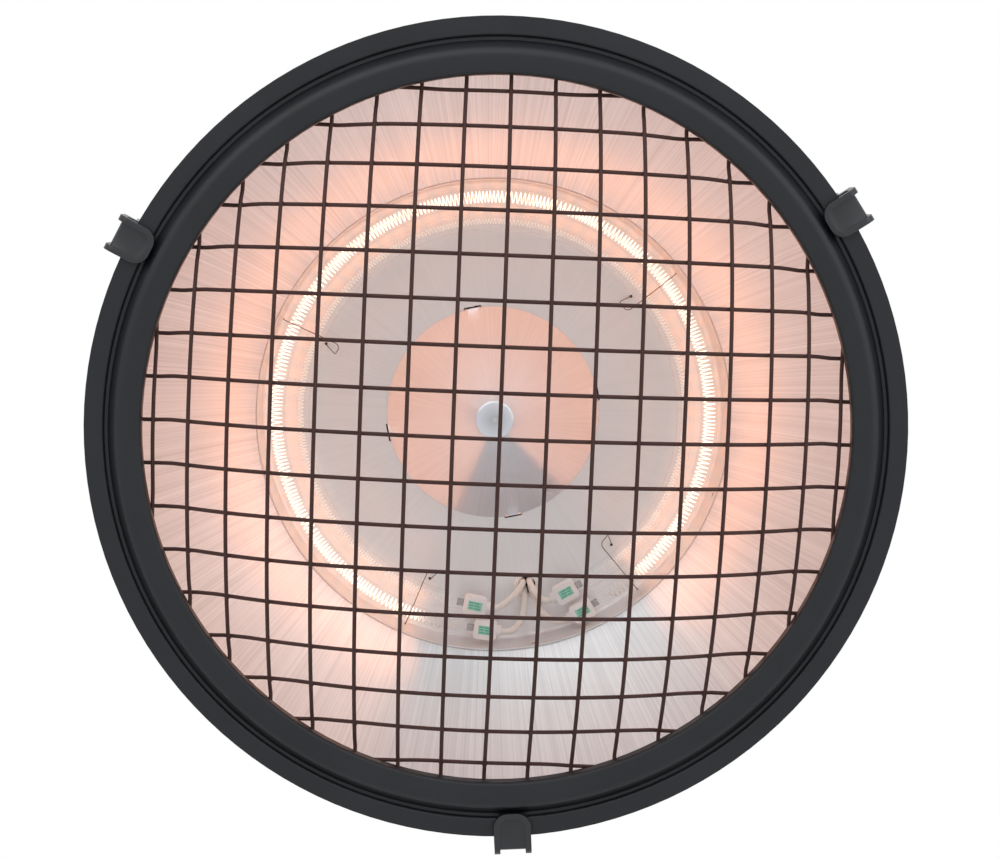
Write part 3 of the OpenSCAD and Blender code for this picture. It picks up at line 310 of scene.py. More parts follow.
shadePaint = {"dark": (0.0135, 0.0152, 0.0188), "light": (0.0195, 0.0218, 0.0262), "roughness": 0.45,
    "gloss": 0.4, "toneScale": 14.0, "grainScale": 2200.0, "grainDepth": 0.00002, "peelScale": 420.0,
    "peelDepth": 0.00006}
guardPaint = {"dark": (0.0115, 0.0132, 0.0172), "light": (0.0166, 0.019, 0.0238), "roughness": 0.45,
    "gloss": 0.4, "toneScale": 22.0, "grainScale": 2600.0, "grainDepth": 0.00002, "peelScale": 520.0,
    "peelDepth": 0.00005}
# the guard wires and their welds are black powder coat: the red-brown in these colours is painted lamp
# light, the warm glow of the lamp painted into the paint
wirePaintWithPaintedLampLight = {"dark": (0.076, 0.039, 0.035), "light": (0.098, 0.050, 0.044), "roughness": 0.55, "gloss": 0.2,
    "toneScale": 30.0, "grainScale": 2600.0, "grainDepth": 0.00002, "peelScale": 700.0, "peelDepth": 0.00003}
clipPaint = {"dark": (0.018, 0.0205, 0.025), "light": (0.025, 0.0285, 0.0345), "roughness": 0.34,
    "gloss": 0.5, "toneScale": 60.0, "grainScale": 2600.0, "grainDepth": 0.00002, "peelScale": 600.0,
    "peelDepth": 0.00005}
# "calm" and "tipReach" are radii over which the streaks set in and the tip's dimmer flat ends
openSheet = {"calm": (0.0, 0.001), "tip": 1.0, "tipReach": (0.002, 0.011)}
bowlSheet = {"dark": (0.72, 0.72, 0.725), "light": (0.90, 0.90, 0.905), "roughness": 0.285, "metal": 0.97,
    "stretch": 0.92, "streaks": 150.0, "breaks": 1.5, "cloudScale": 14.0, "stainScale": 20.0,
    "stain": (0.92, 0.89, 0.88), "stainAmount": 0.4, "ringScale": 200.0, "ringDepth": 0.00006,
    "streakDepth": 0.000005, **openSheet}
panSheet = {"dark": (0.75, 0.74, 0.745), "light": (0.785, 0.775, 0.78), "roughness": 0.36, "metal": 0.55,
    "stretch": 0.8, "streaks": 50.0, "breaks": 3.0, "cloudScale": 18.0, "stainScale": 30.0,
    "stain": (0.92, 0.90, 0.90), "stainAmount": 0.4, "ringScale": 160.0, "ringDepth": 0.00004,
    "streakDepth": 0.000003, **openSheet}
coneSheet = {"dark": (0.80, 0.815, 0.87), "light": (0.86, 0.875, 0.93), "roughness": 0.285, "metal": 0.8,
    "stretch": 0.8, "streaks": 40.0, "breaks": 4.0, "cloudScale": 26.0, "stainScale": 50.0,
    "stain": (0.92, 0.90, 0.90), "stainAmount": 0.3, "ringScale": 220.0, "ringDepth": 0.00003,
    "streakDepth": 0.000001, "calm": (0.006, 0.016), "tip": 0.68, "tipReach": (0.002, 0.011)}
zincPlate = {"dark": (0.42, 0.43, 0.44), "light": (0.66, 0.67, 0.68), "roughness": 0.36, "metal": 0.95,
    "scratch": (900.0, 900.0, 160.0), "spangleScale": 420.0, "depth": 0.00003}
springSteel = {"dark": (0.07, 0.045, 0.03), "light": (0.20, 0.13, 0.08), "roughness": 0.4, "metal": 0.8,
    "scratch": (1800.0, 1800.0, 900.0), "spangleScale": 900.0, "depth": 0.00002}
brassBar = {"dark": (0.62, 0.44, 0.18), "light": (0.80, 0.62, 0.30), "roughness": 0.34, "metal": 0.95,
    "scratch": (1200.0, 1200.0, 300.0), "spangleScale": 700.0, "depth": 0.00003}
steatite = {"dark": (0.88, 0.885, 0.885), "light": (0.94, 0.945, 0.945), "roughness": 0.42, "gloss": 0.45,
    "toneScale": 160.0, "poreScale": 2600.0, "depth": 0.00003}
softRubber = {"dark": (0.012, 0.012, 0.013), "light": (0.022, 0.022, 0.024), "roughness": 0.7, "gloss": 0.3,
    "toneScale": 90.0, "poreScale": 1800.0, "depth": 0.00005}
greyRubber = {"dark": (0.10, 0.10, 0.105), "light": (0.16, 0.16, 0.165), "roughness": 0.66, "gloss": 0.3,
    "toneScale": 110.0, "poreScale": 1800.0, "depth": 0.00005}
nylon = {"dark": (0.015, 0.016, 0.017), "light": (0.026, 0.027, 0.029), "roughness": 0.5, "gloss": 0.45,
    "toneScale": 120.0, "poreScale": 1500.0, "depth": 0.00005}
clearQuartz = {"clear": (1.0, 1.0, 1.0), "milky": (0.98, 0.985, 0.99), "roughness": 0.015, "index": 1.01,
    "sheen": 0.5, "shadow": (0.97, 0.96, 0.95), "rippleScale": 40.0, "filmScale": 35.0, "depth": 0.00003}
coil = {"cool": (0.0, 0.0, 0.0), "warmUp": 0.012, "grainScale": 4000.0, "grainDepth": 0.00003}
litCoil = {"hot": (1.0, 0.84, 0.66), "strength": 1.7, "coolStart": 0.022, "coolEnd": 0.978,
    "dark": (0.66, 0.56, 0.50), "light": (0.84, 0.74, 0.68), "metal": 0.3, **coil}
# the inner lamp is off: the faint emission on its coil is a painted glow that makes the coil show as a pale
# line
coldCoilWithPaintedGlow = {"hot": (1.0, 0.82, 0.66), "strength": 0.35, "coolStart": 0.018, "coolEnd": 0.982,
    "dark": (0.84, 0.76, 0.68), "light": (0.94, 0.88, 0.80), "metal": 0.2, **coil}
ivorySleeve = {"dark": (0.83, 0.79, 0.74), "light": (0.90, 0.87, 0.83), "strands": 16, "pitch": 0.0022,
    "fluffScale": 2500.0, "depth": 0.000012}
ink = {"roughness": 0.5, "gloss": 0.4, "toneScale": 900.0, "poreScale": 4000.0, "depth": 0.00001}
greenInk = {"dark": (0.30, 0.66, 0.52), "light": (0.42, 0.76, 0.64), **ink}
darkInk = {"dark": (0.10, 0.46, 0.34), "light": (0.16, 0.56, 0.42), **ink}
foilSheet = {"dark": (0.22, 0.20, 0.20), "light": (0.42, 0.38, 0.37), "roughness": 0.35, "metal": 0.9,
    "scratch": (900.0, 900.0, 900.0), "spangleScale": 1500.0, "depth": 0.00001}

paints = {
    "shade": paintedSteel("shade_paint", shadePaint),
    "guard": paintedSteel("guard_paint", guardPaint),
    "wire": paintedSteel("guard_wire_paint", wirePaintWithPaintedLampLight),
    "clip": paintedSteel("clip_paint", clipPaint),
    "bowl": spunSheet("brushed_bowl", bowlSheet),
    "pan": spunSheet("brushed_pan", panSheet),
    "cone": spunSheet("brushed_cone", coneSheet),
    "zinc": barMetal("zinc_plate", zincPlate),
    "spring": barMetal("spring_steel", springSteel),
    "brass": barMetal("brass_bar", brassBar),
    "ceramic": mouldedSkin("steatite_ceramic", steatite),
    "rubber": mouldedSkin("black_rubber", softRubber),
    "greyRubber": mouldedSkin("grey_rubber", greyRubber),
    "nylon": mouldedSkin("black_nylon", nylon),
    "quartz": quartzGlass("quartz_glass", clearQuartz),
    "lit": coilWire("lit_coil", litCoil),
    "cold": coilWire("cold_coil", coldCoilWithPaintedGlow),
    "sleeve": wovenSleeve("woven_sleeve", ivorySleeve),
    "greenInk": mouldedSkin("green_ink", greenInk),
    "darkInk": mouldedSkin("dark_ink", darkInk),
    "foil": barMetal("seal_foil", foilSheet),
}

nodesOfFinish = {
    "zinc": "hang_ring eye_bolt stem_spacer stem_nut stem_washer housing_base housing_screws base_screws "
        "standoffs pan_screws reflector_screws clip_pin_1 clip_pin_2 clip_pin_3",
    "shade": "top_housing shade clip_bracket_1 clip_bracket_2 clip_bracket_3",
    "rubber": "housing_gasket feed_grommet",
    "nylon": "gland_body gland_nut gland_locknut",
    "greyRubber": "gland_seal",
    "ceramic": "terminal_block thermal_cutout outer_lamp_caps inner_lamp_caps lead_bushing",
    "brass": "terminal_screws",
    "sleeve": "cutout_leads lamp_leads",
    "bowl": "outer_reflector",
    "pan": "reflector_pan",
    "spring": "pan_rivets lamp_supports bracket_rivets",
    "cone": "centre_cone",
    "quartz": "outer_lamp_tube inner_lamp_tube",
    "lit": "outer_filament",
    "cold": "inner_filament",
    "guard": "guard_ring guard_retainer",
    "wire": "guard_wires_lengthwise guard_wires_crosswise",
    "clip": "clip_1 clip_2 clip_3",
}
slotNames = {"ceramic": "white_ceramic", **dict.fromkeys(("shade", "guard", "clip"), "charcoal_paint"),
    **dict.fromkeys(("bowl", "pan", "cone"), "reflector_aluminium")}
finishOfNode = {}
for finish, names in nodesOfFinish.items():
    for name in names.split():
        finishOfNode[name] = finish
        body = nodes[name].data
        body.materials.clear()
        body.materials.append(paints[finish])
print("finishes set", len(finishOfNode))


# ---- smooth copies of solids whose shape is right: joined mesh, softened edges, smooth shading

def addObject(name, data):
    added = bpy.data.objects.new(name, data)
    bpy.context.scene.collection.objects.link(added)
    return added


def meshFrom(name, shape):
    # turns a bmesh into a mesh and lets go of it
    mesh = bpy.data.meshes.new(name)
    shape.to_mesh(mesh)
    shape.free()
    return mesh


def smoothFaces(shape):
    for face in shape.faces:
        face.smooth = True


# angles in degrees: what counts as flat, as a hard edge, and as sharp after the edges are rounded
softening = {"merge": 0.000004, "flat": 0.8, "hard": 28.0, "sharp": 38.0, "segments": 2, "profile": 0.5}


def softCopy(name, edgeRound):
    source = nodes[name]
    shape = bmesh.new()
    shape.from_mesh(source.data)
    bmesh.ops.remove_doubles(shape, verts=shape.verts, dist=softening["merge"])
    if edgeRound:
        bmesh.ops.dissolve_limit(shape, angle_limit=math.radians(softening["flat"]), verts=shape.verts,
            edges=shape.edges)
        limit = math.radians(softening["hard"])
        hard = [e for e in shape.edges if e.is_manifold and e.calc_face_angle(0.0) > limit]
        bmesh.ops.bevel(shape, geom=hard, offset=edgeRound, segments=softening["segments"],
            profile=softening["profile"], affect="EDGES", clamp_overlap=True)
    smoothFaces(shape)
    mesh = meshFrom("soft_" + name, shape)
    mesh.set_sharp_from_angle(angle=math.radians(softening["sharp" if edgeRound else "hard"]))
    mesh.materials.append(source.data.materials[0])
    return addObject("soft_" + name, mesh)


# ---- shapes that the solids follow, in metres, heights above the rim

rimDrop = 268 * mm
up = np.array([0.0, 0.0, 1.0])


def unit(v):
    return v / np.linalg.norm(v)


def polar(radius, degrees, height=0.0):
    a = math.radians(degrees)
    return np.array([radius * math.cos(a), radius * math.sin(a), height])


def bezier(a, b, c, d, steps):
    points = []
    for k in range(steps + 1):
        s = k / steps
        q = 1 - s
        points.append(q ** 3 * a + 3 * q * q * s * b + 3 * q * s * s * c + s ** 3 * d)
    return points


def bendPath(corners, radii, steps):
    points = [corners[0]]
    for i in range(1, len(corners) - 1):
        if radii[i] == 0:
            points.append(corners[i])
            continue
        u = unit(corners[i - 1] - corners[i])
        v = unit(corners[i + 1] - corners[i])
        half = math.acos(float(np.dot(u, v))) / 2
        mid = corners[i] + unit(u + v) * radii[i] / math.sin(half)
        first = corners[i] + u * radii[i] / math.tan(half) - mid
        second = corners[i] + v * radii[i] / math.tan(half) - mid
        for k in range(steps + 1):
            points.append(mid + radii[i] * unit(first * (steps - k) + second * k))
    points.append(corners[-1])
    return points


# ---- Geometry Nodes tools

def newGroup(name, inputs):
    group = bpy.data.node_groups.new(name, "GeometryNodeTree")
    group.interface.new_socket(name="Geometry", in_out="INPUT", socket_type="NodeSocketGeometry")
    sockets = {}
    for label, kind in inputs.items():
        sockets[label] = group.interface.new_socket(name=label, in_out="INPUT", socket_type=kind)
    group.interface.new_socket(name="Geometry", in_out="OUTPUT", socket_type="NodeSocketGeometry")
    return group, sockets, group.nodes.new("NodeGroupInput"), group.nodes.new("NodeGroupOutput")


def finishGroup(group, source, output, entry, leave):
    real = group.nodes.new("GeometryNodeRealizeInstances")
    paint = group.nodes.new("GeometryNodeSetMaterial")
    link(group, source, output, real, "Geometry")
    link(group, real, "Geometry", paint, "Geometry")
    link(group, entry, "Material", paint, "Material")
    link(group, paint, "Geometry", leave, "Geometry")


def store(group, source, output, label, value, valueOutput):
    node = addNode(group, "GeometryNodeStoreNamedAttribute", {"data_type": "FLOAT", "domain": "POINT"},
        {"Name": label})
    link(group, source, output, node, "Geometry")
    link(group, value, valueOutput, node, "Value")
    return node


def makeWireTool():
    # a round wire along each chain of edges, which remembers where along and round it a point lies
    group, sockets, entry, leave = newGroup("wire_along_path", {
        "Radius": "NodeSocketFloat", "Sides": "NodeSocketInt", "Material": "NodeSocketMaterial"})
    curve = group.nodes.new("GeometryNodeMeshToCurve")
    step = group.nodes.new("GeometryNodeSplineParameter")
    circle = group.nodes.new("GeometryNodeCurvePrimitiveCircle")
    sweep = addNode(group, "GeometryNodeCurveToMesh", None, {"Fill Caps": True})
    smooth = group.nodes.new("GeometryNodeSetShadeSmooth")
    link(group, entry, "Geometry", curve, "Mesh")
    along = store(group, curve, "Curve", "along", step, "Factor")
    run = store(group, along, "Geometry", "run", step, "Length")
    link(group, entry, "Radius", circle, "Radius")
    link(group, entry, "Sides", circle, "Resolution")
    about = store(group, circle, "Curve", "round", step, "Factor")
    link(group, run, "Geometry", sweep, "Curve")
    link(group, about, "Geometry", sweep, "Profile Curve")
    link(group, sweep, "Mesh", smooth, "Geometry")
    finishGroup(group, smooth, "Geometry", entry, leave)
    return group, sockets


def makeScatterTool():
    # one copy of an object on every point, with its Z along the point's "way"
    group, sockets, entry, leave = newGroup("copies_on_points", {
        "Object": "NodeSocketObject", "Material": "NodeSocketMaterial"})
    info = group.nodes.new("GeometryNodeObjectInfo")
    place = group.nodes.new("GeometryNodeInstanceOnPoints")
    turn = addNode(group, "FunctionNodeAlignRotationToVector", {"axis": "Z"})
    way = addNode(group, "GeometryNodeInputNamedAttribute", {"data_type": "FLOAT_VECTOR"}, {"Name": "way"})
    link(group, entry, "Object", info, "Object")
    link(group, entry, "Geometry", place, "Points")
    link(group, info, "Geometry", place, "Instance")
    link(group, way, "Attribute", turn, "Vector")
    link(group, turn, "Rotation", place, "Rotation")
    finishGroup(group, place, "Instances", entry, leave)
    return group, sockets


wireTool = makeWireTool()
scatterTool = makeScatterTool()


def lowered(points):
    return [(float(p[0]), float(p[1]), float(p[2]) - rimDrop) for p in points]


def plainMesh(name, points, edges):
    mesh = bpy.data.meshes.new(name)
    mesh.from_pydata(points, edges, [])
    return addObject(name, mesh)


def runTool(holder, tool, values):
    # sets the tool's inputs, bakes its result to a plain mesh and drops the holder
    group, sockets = tool
    modifier = holder.modifiers.new("tool", "NODES")
    modifier.node_group = group
    for label, value in values.items():
        modifier[sockets[label].identifier] = value
    name = holder.name
    holder.name = name + "_path"
    bpy.context.view_layer.update()
    graph = bpy.context.evaluated_depsgraph_get()
    mesh = bpy.data.meshes.new_from_object(holder.evaluated_get(graph))
    mesh.name = name
    piece = addObject(name, mesh)
    bpy.data.objects.remove(holder)
    return piece


def wires(name, paths, radius, sides, paint):
    points = []
    edges = []
    for path in paths:
        start = len(points)
        points += lowered(path)
        edges += [(i, i + 1) for i in range(start, len(points) - 1)]
    holder = plainMesh(name, points, edges)
    return runTool(holder, wireTool, {"Radius": radius, "Sides": sides, "Material": paints[paint]})


def settle(piece, body, slot, *replaced):
    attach(piece, body)
    if replaced:
        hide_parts(*replaced)
    return piece


# ---- guard: two layers of round wires over the dome, spot welded where they cross

dome = {"wireRadius": 1.09 * mm, "sides": 12, "pitch": 24.6 * mm, "crossPitch": 24.3 * mm, "drawIn": 0.45,
    "crown": 500 * mm, "knuckle": 208 * mm, "flare": 6 * mm, "slope": 37.2, "edge": 191.1 * mm,
    "end": 207.0 * mm, "meshHeight": 3.63 * mm, "layer": 1.12 * mm, "turn": 2.25, "shift": -1.1 * mm,
    "shiftFade": 16 * mm, "step": 3.5 * mm}

# crown, knuckle and flare are three arcs that run into each other
edgeSin = math.sin(math.radians(dome["slope"]))
edgeCos = math.cos(math.radians(dome["slope"]))
arcsWide = dome["edge"] - (dome["flare"] + dome["knuckle"]) * edgeSin
crownRadius = arcsWide / (1 - dome["knuckle"] / dome["crown"])
crownSlope = math.asin(crownRadius / dome["crown"])
knuckleRadius = crownRadius + dome["knuckle"] * (edgeSin - math.sin(crownSlope))
crownRise = dome["crown"] * (1 - math.cos(crownSlope))
knuckleRise = crownRise + dome["knuckle"] * (math.cos(crownSlope) - edgeCos)
domeRise = knuckleRise + dome["flare"] * (1 - edgeCos)
crownArc = dome["crown"] * crownSlope
knuckleArc = crownArc + dome["knuckle"] * (math.radians(dome["slope"]) - crownSlope)
domeArc = knuckleArc + dome["flare"] * math.radians(dome["slope"])
wireRoom = domeArc + dome["end"] - dome["edge"] - 4 * dome["wireRadius"]


def domeSlope(r):
    if r < crownRadius:
        return math.asin(r / dome["crown"])
    if r < knuckleRadius:
        return math.asin(math.sin(crownSlope) + (r - crownRadius) / dome["knuckle"])
    if r < dome["edge"]:
        return math.asin((dome["edge"] - r) / dome["flare"])
    return 0.0


def domeHeight(r):
    if r < crownRadius:
        return dome["crown"] - math.sqrt(dome["crown"] ** 2 - r * r)
    if r < knuckleRadius:
        return crownRise + dome["knuckle"] * (math.cos(crownSlope) - math.cos(domeSlope(r)))
    if r < dome["edge"]:
        return domeRise - dome["flare"] * (1 - math.cos(domeSlope(r)))
    return domeRise


def domeRadius(s):
    if s < crownArc:
        return dome["crown"] * math.sin(s / dome["crown"])
    if s < knuckleArc:
        turned = crownSlope + (s - crownArc) / dome["knuckle"]
        return crownRadius + dome["knuckle"] * (math.sin(turned) - math.sin(crownSlope))
    if s < domeArc:
        left = math.radians(dome["slope"]) - (s - knuckleArc) / dome["flare"]
        return dome["edge"] - dome["flare"] * math.sin(left)
    return dome["edge"] + s - domeArc


def onDome(x, y, off):
    r = max(math.hypot(x, y), 1e-6)
    a = domeSlope(r)
    height = dome["meshHeight"] - domeRise + domeHeight(r)
    normal = np.array([-math.sin(a) * x / r, -math.sin(a) * y / r, math.cos(a)])
    return np.array([x, y, height]) + off * normal


def turned(p, degrees):
    a = math.radians(degrees)
    x = p[0] * math.cos(a) - p[1] * math.sin(a)
    y = p[0] * math.sin(a) + p[1] * math.cos(a)
    return np.array([x, y, p[2]])


def planShare(s):
    return 1.0 if abs(s) < 1e-6 else domeRadius(abs(s)) / abs(s)


def pressed(u, v):
    together = dome["drawIn"] * planShare(math.hypot(u, v))
    return [w * (together + (1 - dome["drawIn"]) * planShare(w)) for w in (u, v)]


def wireReach(u, radius):
    # how far along a wire the given radius lies, found by halving
    low, high = 0.0, 2 * radius
    for step in range(30):
        v = (low + high) / 2
        if math.hypot(*pressed(u, v)) < radius:
            low = v
        else:
            high = v
    return low


def offCentre(p):
    # the mesh sits a little off centre, less and less toward its clamped edge
    fade = min(max((dome["edge"] - math.hypot(p[0], p[1])) / dome["shiftFade"], 0.0), 1.0)
    return p + np.array([0.0, dome["shift"] * fade * fade * (3 - 2 * fade), 0.0])


def wireNumbers(pitch):
    eachSide = int(wireRoom / pitch)
    return range(-eachSide, eachSide + 1)


def guardLayer(pitch, off, turn):
    paths = []
    for n in wireNumbers(pitch):
        u = n * pitch
        reach = wireReach(u, dome["end"])
        steps = max(int(2 * reach / dome["step"]), 8)
        line = [onDome(*pressed(u, -reach + 2 * reach * k / steps), off) for k in range(steps + 1)]
        paths.append([offCentre(turned(p, turn)) for p in line])
    return paths


lengthwisePaths = guardLayer(dome["pitch"], -dome["layer"], dome["turn"])
crosswisePaths = guardLayer(dome["crossPitch"], dome["layer"], dome["turn"] - 90)
for way, paths in (("lengthwise", lengthwisePaths), ("crosswise", crosswisePaths)):
    layer = wires("guard_wires_smooth_" + way, paths, dome["wireRadius"], dome["sides"], "wire")
    settle(layer, "heater", "charcoal_paint", "guard_wires_" + way)

nugget = {"radius": 1.35 * mm, "flat": 1.15, "fromEdge": 3 * mm}
welds = []
for i in wireNumbers(dome["pitch"]):
    for j in wireNumbers(dome["crossPitch"]):
        x, y = pressed(i * dome["pitch"], j * dome["crossPitch"])
        if math.hypot(x, y) < dome["edge"] - nugget["fromEdge"]:
            welds.append(offCentre(turned(onDome(x, y, 0.0), dome["turn"])))
ball = bmesh.new()
bmesh.ops.create_icosphere(ball, subdivisions=1, radius=nugget["radius"])
bmesh.ops.scale(ball, vec=(nugget["flat"], nugget["flat"], 1.0), verts=ball.verts)
smoothFaces(ball)
ballObject = bpy.data.objects.new("weld_nugget", meshFrom("weld_nugget", ball))
weldPoints = plainMesh("guard_welds", lowered(welds), [])
wayLayer = weldPoints.data.attributes.new("way", "FLOAT_VECTOR", "POINT")
for item in wayLayer.data:
    item.vector = (0.0, 0.0, 1.0)
guardWelds = runTool(weldPoints, scatterTool, {"Object": ballObject, "Material": paints["wire"]})
settle(guardWelds, "heater", "charcoal_paint")
print("guard", len(lengthwisePaths) + len(crosswisePaths), "wires,", len(welds), "welds")


# ---- ring lamps: wound filaments, foils, and printed bars on the caps

lamps = {"height": 114 * mm, "gapWay": 79.0, "outerRadius": 129.5 * mm, "innerRadius": 115 * mm,
    "outerRuns": (42.9 * mm, 42.9 * mm), "innerRuns": (46.2 * mm, 35.1 * mm), "neck": 1.6,
    "outerCoil": 3.3 * mm, "outerWire": 0.22 * mm, "outerTurns": 300, "innerCoil": 1.6 * mm,
    "innerWire": 0.16 * mm, "innerTurns": 322, "pointsPerTurn": 12, "sides": 5, "uneven": 1.6,
    "tail": 1.8 * mm, "growPoints": 14}
outerRing = (lamps["outerRadius"], lamps["outerRuns"])
innerRing = (lamps["innerRadius"], lamps["innerRuns"])


def endDegrees(radius, runs, side):
    sweep = math.degrees(runs[side] / radius)
    return lamps["gapWay"] + sweep if side == 0 else lamps["gapWay"] - sweep


def windFilament(radius, runs, turns, coil):
    start = endDegrees(radius, runs, 0) + lamps["neck"]
    stop = 360 + endDegrees(radius, runs, 1) - lamps["neck"]
    tail = math.degrees(lamps["tail"] / radius)
    count = turns * lamps["pointsPerTurn"]
    path = [polar(radius, start, lamps["height"])]
    for i in range(count + 1):
        s = i / count
        a = start + tail + (stop - start - 2 * tail) * s
        grow = min(1.0, min(i, count - i) / lamps["growPoints"])
        # the turns bunch up a little here and there
        b = 2 * math.pi * turns * s + lamps["uneven"] * (math.sin(61 * s) + math.sin(143 * s)) * grow
        reach = coil * grow
        path.append(polar(radius + reach * math.cos(b), a, lamps["height"] + reach * math.sin(b)))
    path.append(polar(radius, stop, lamps["height"]))
    return path


for which, ring, paint in (("outer", outerRing, "lit"), ("inner", innerRing, "cold")):
    path = windFilament(*ring, lamps[which + "Turns"], lamps[which + "Coil"])
    winding = wires(which + "_filament_winding", [path], lamps[which + "Wire"], lamps["sides"], paint)
    settle(winding, "heater", paint + "_filament", which + "_filament")
print("filaments wound", lamps["outerTurns"], "and", lamps["innerTurns"], "turns")


def lampEnd(radius, runs, side):
    # origin, run out of the tube and sideways direction at one lamp end
    a = endDegrees(radius, runs, side)
    return polar(radius, a, lamps["height"]), polar(1 if side == 0 else -1, a - 90), polar(1.0, a)


def flatBars(name, boxes, paint):
    # thin plates, each given by its centre and three half axes
    mesh = bpy.data.meshes.new(name)
    points = []
    faces = []
    for centre, u, v, w in boxes:
        base = len(points)
        for sz in (-1, 1):
            for sx, sy in ((-1, -1), (1, -1), (1, 1), (-1, 1)):
                points.append(centre + sx * u + sy * v + sz * w)
        for quad in ((0, 3, 2, 1), (4, 5, 6, 7), (0, 1, 5, 4), (1, 2, 6, 5), (2, 3, 7, 6), (3, 0, 4, 7)):
            faces.append(tuple(base + k for k in quad))
    mesh.from_pydata(lowered(points), [], faces)
    mesh.materials.append(paints[paint])
    shape = bmesh.new()
    shape.from_mesh(mesh)
    bmesh.ops.recalc_face_normals(shape, faces=shape.faces)
    shape.to_mesh(mesh)
    shape.free()
    return addObject(name, mesh)


glass = {"radius": 6.0 * mm, "wall": 1.1 * mm, "neck": 6 * mm, "pinch": 17 * mm, "pinchWide": 4.0 * mm,
    "pinchThick": 1.5 * mm, "chamfer": 0.6 * mm, "trim": 0.4 * mm, "sides": 28, "step": 3.5 * mm,
    "boreStart": 1.6 * mm, "boreEnd": 0.15, "borePower": 2.2}


def tubeSection(centre, across, wide, thick, power):
    # power 2 gives an ellipse, a higher one a rounded box
    ring = []
    for k in range(glass["sides"]):
        b = 2 * math.pi * k / glass["sides"]
        u = math.copysign(abs(math.cos(b)) ** (2 / power), math.cos(b))
        v = math.copysign(abs(math.sin(b)) ** (2 / power), math.sin(b))
        ring.append(centre + across * wide * u + up * thick * v)
    return ring


def glassTube(name, radius, runs, replaced):
    # round tube that flattens into a pinch at both ends, with its bore inside
    start = endDegrees(radius, runs, 0)
    stop = 360 + endDegrees(radius, runs, 1)
    length = math.radians(stop - start) * radius
    skin = []
    bore = []

    def section(distance):
        # distance along the centre line; before 0 and after length it runs straight on
        d = min(max(distance, 0.0), length)
        a = start + math.degrees(d / radius)
        centre = polar(radius, a, lamps["height"]) + polar(distance - d, a + 90)
        inside = min(d, length - d)
        ease = min(inside / glass["neck"], 1.0)
        ease = ease * ease * (3 - 2 * ease)
        wide = glass["pinchWide"] + (glass["radius"] - glass["pinchWide"]) * ease
        thick = glass["pinchThick"] + (glass["radius"] - glass["pinchThick"]) * ease
        return centre, polar(1.0, a), wide, thick, 5 - 3 * ease

    marks = [-glass["pinch"], -glass["pinch"] + glass["chamfer"], -glass["pinch"] / 2, 0.0]
    steps = int(length / glass["step"])
    ends = [glass["neck"] * k / 6 for k in range(1, 7)]
    middle = [glass["neck"] + (length - 2 * glass["neck"]) * k / steps for k in range(1, steps)]
    line = marks + ends + middle + [length - d for d in reversed(marks + ends)]
    for d in line:
        centre, across, wide, thick, power = section(d)
        trim = glass["trim"] if d in (line[0], line[-1]) else 0.0
        skin.append(tubeSection(centre, across, wide - trim, thick - trim, power))
    inner = [d for d in line if glass["boreStart"] < d < length - glass["boreStart"]]
    for d in inner:
        centre, across, wide, thick, power = section(d)
        shut = glass["boreEnd"] if d in (inner[0], inner[-1]) else 1.0
        boreWide = (wide - glass["wall"]) * shut
        boreThick = (thick - glass["wall"]) * shut
        bore.append(tubeSection(centre, across, boreWide, boreThick, glass["borePower"]))
    shape = bmesh.new()
    for rings, flip in ((skin, False), (bore, True)):
        rows = [[shape.verts.new(p) for p in lowered(ring)] for ring in rings]
        faces = []
        for near, far in zip(rows, rows[1:]):
            for k in range(glass["sides"]):
                n = (k + 1) % glass["sides"]
                faces.append(shape.faces.new((near[k], near[n], far[n], far[k])))
        faces.append(shape.faces.new(list(reversed(rows[0]))))
        faces.append(shape.faces.new(rows[-1]))
        bmesh.ops.recalc_face_normals(shape, faces=faces)
        if flip:
            bmesh.ops.reverse_faces(shape, faces=faces)
    smoothFaces(shape)
    mesh = meshFrom(name, shape)
    mesh.materials.append(paints["quartz"])
    return settle(addObject(name, mesh), "heater", "quartz_glass", replaced)


glassTube("outer_lamp_glass", *outerRing, "outer_lamp_tube")
glassTube("inner_lamp_glass", *innerRing, "inner_lamp_tube")

seal = {"foilStart": 2 * mm, "foilEnd": 12 * mm, "foilHalf": 2.2 * mm, "foilThick": 0.03 * mm,
    "capOff": 6 * mm, "capLength": 14 * mm, "capThick": 9 * mm}
# the print is three rows of two bars each: where a bar's middle lies and how long its half is
capPrint = {"half": 4.2 * mm, "halfWide": 2.7 * mm, "thick": 0.03 * mm, "rowPitch": 1.6 * mm,
    "rowShift": 0.3 * mm, "bars": ((-2.3 * mm, 1.3 * mm), (1.3 * mm, 1.7 * mm)), "barHalf": 0.42 * mm,
    "barThick": 0.054 * mm}
foils = []
patches = []
bars = []
for ring, side in ((outerRing, 0), (outerRing, 1), (innerRing, 0), (innerRing, 1)):
    origin, run, sideways = lampEnd(*ring, side)
    middle = origin + run * (seal["foilStart"] + seal["foilEnd"]) / 2
    halfLong = run * (seal["foilEnd"] - seal["foilStart"]) / 2
    foils.append((middle, halfLong, sideways * seal["foilHalf"], up * seal["foilThick"]))
    face = origin + run * (seal["capOff"] + seal["capLength"] / 2) - up * seal["capThick"] / 2
    patches.append((face, run * capPrint["half"], sideways * capPrint["halfWide"], up * capPrint["thick"]))
    for row in (-1, 0, 1):
        for middleOff, halfBar in capPrint["bars"]:
            off = middleOff + capPrint["rowShift"] * row
            at = face + sideways * row * capPrint["rowPitch"] + run * off
            bars.append((at, run * halfBar, sideways * capPrint["barHalf"], up * capPrint["barThick"]))
settle(flatBars("lamp_seal_foils", foils, "foil"), "heater", "zinc_steel")
settle(flatBars("cap_print_patches", patches, "greenInk"), "heater", "white_ceramic")
settle(flatBars("cap_print_bars", bars, "darkInk"), "heater", "white_ceramic")


# ---- sleeved leads, lamp supports and the cutout's leads

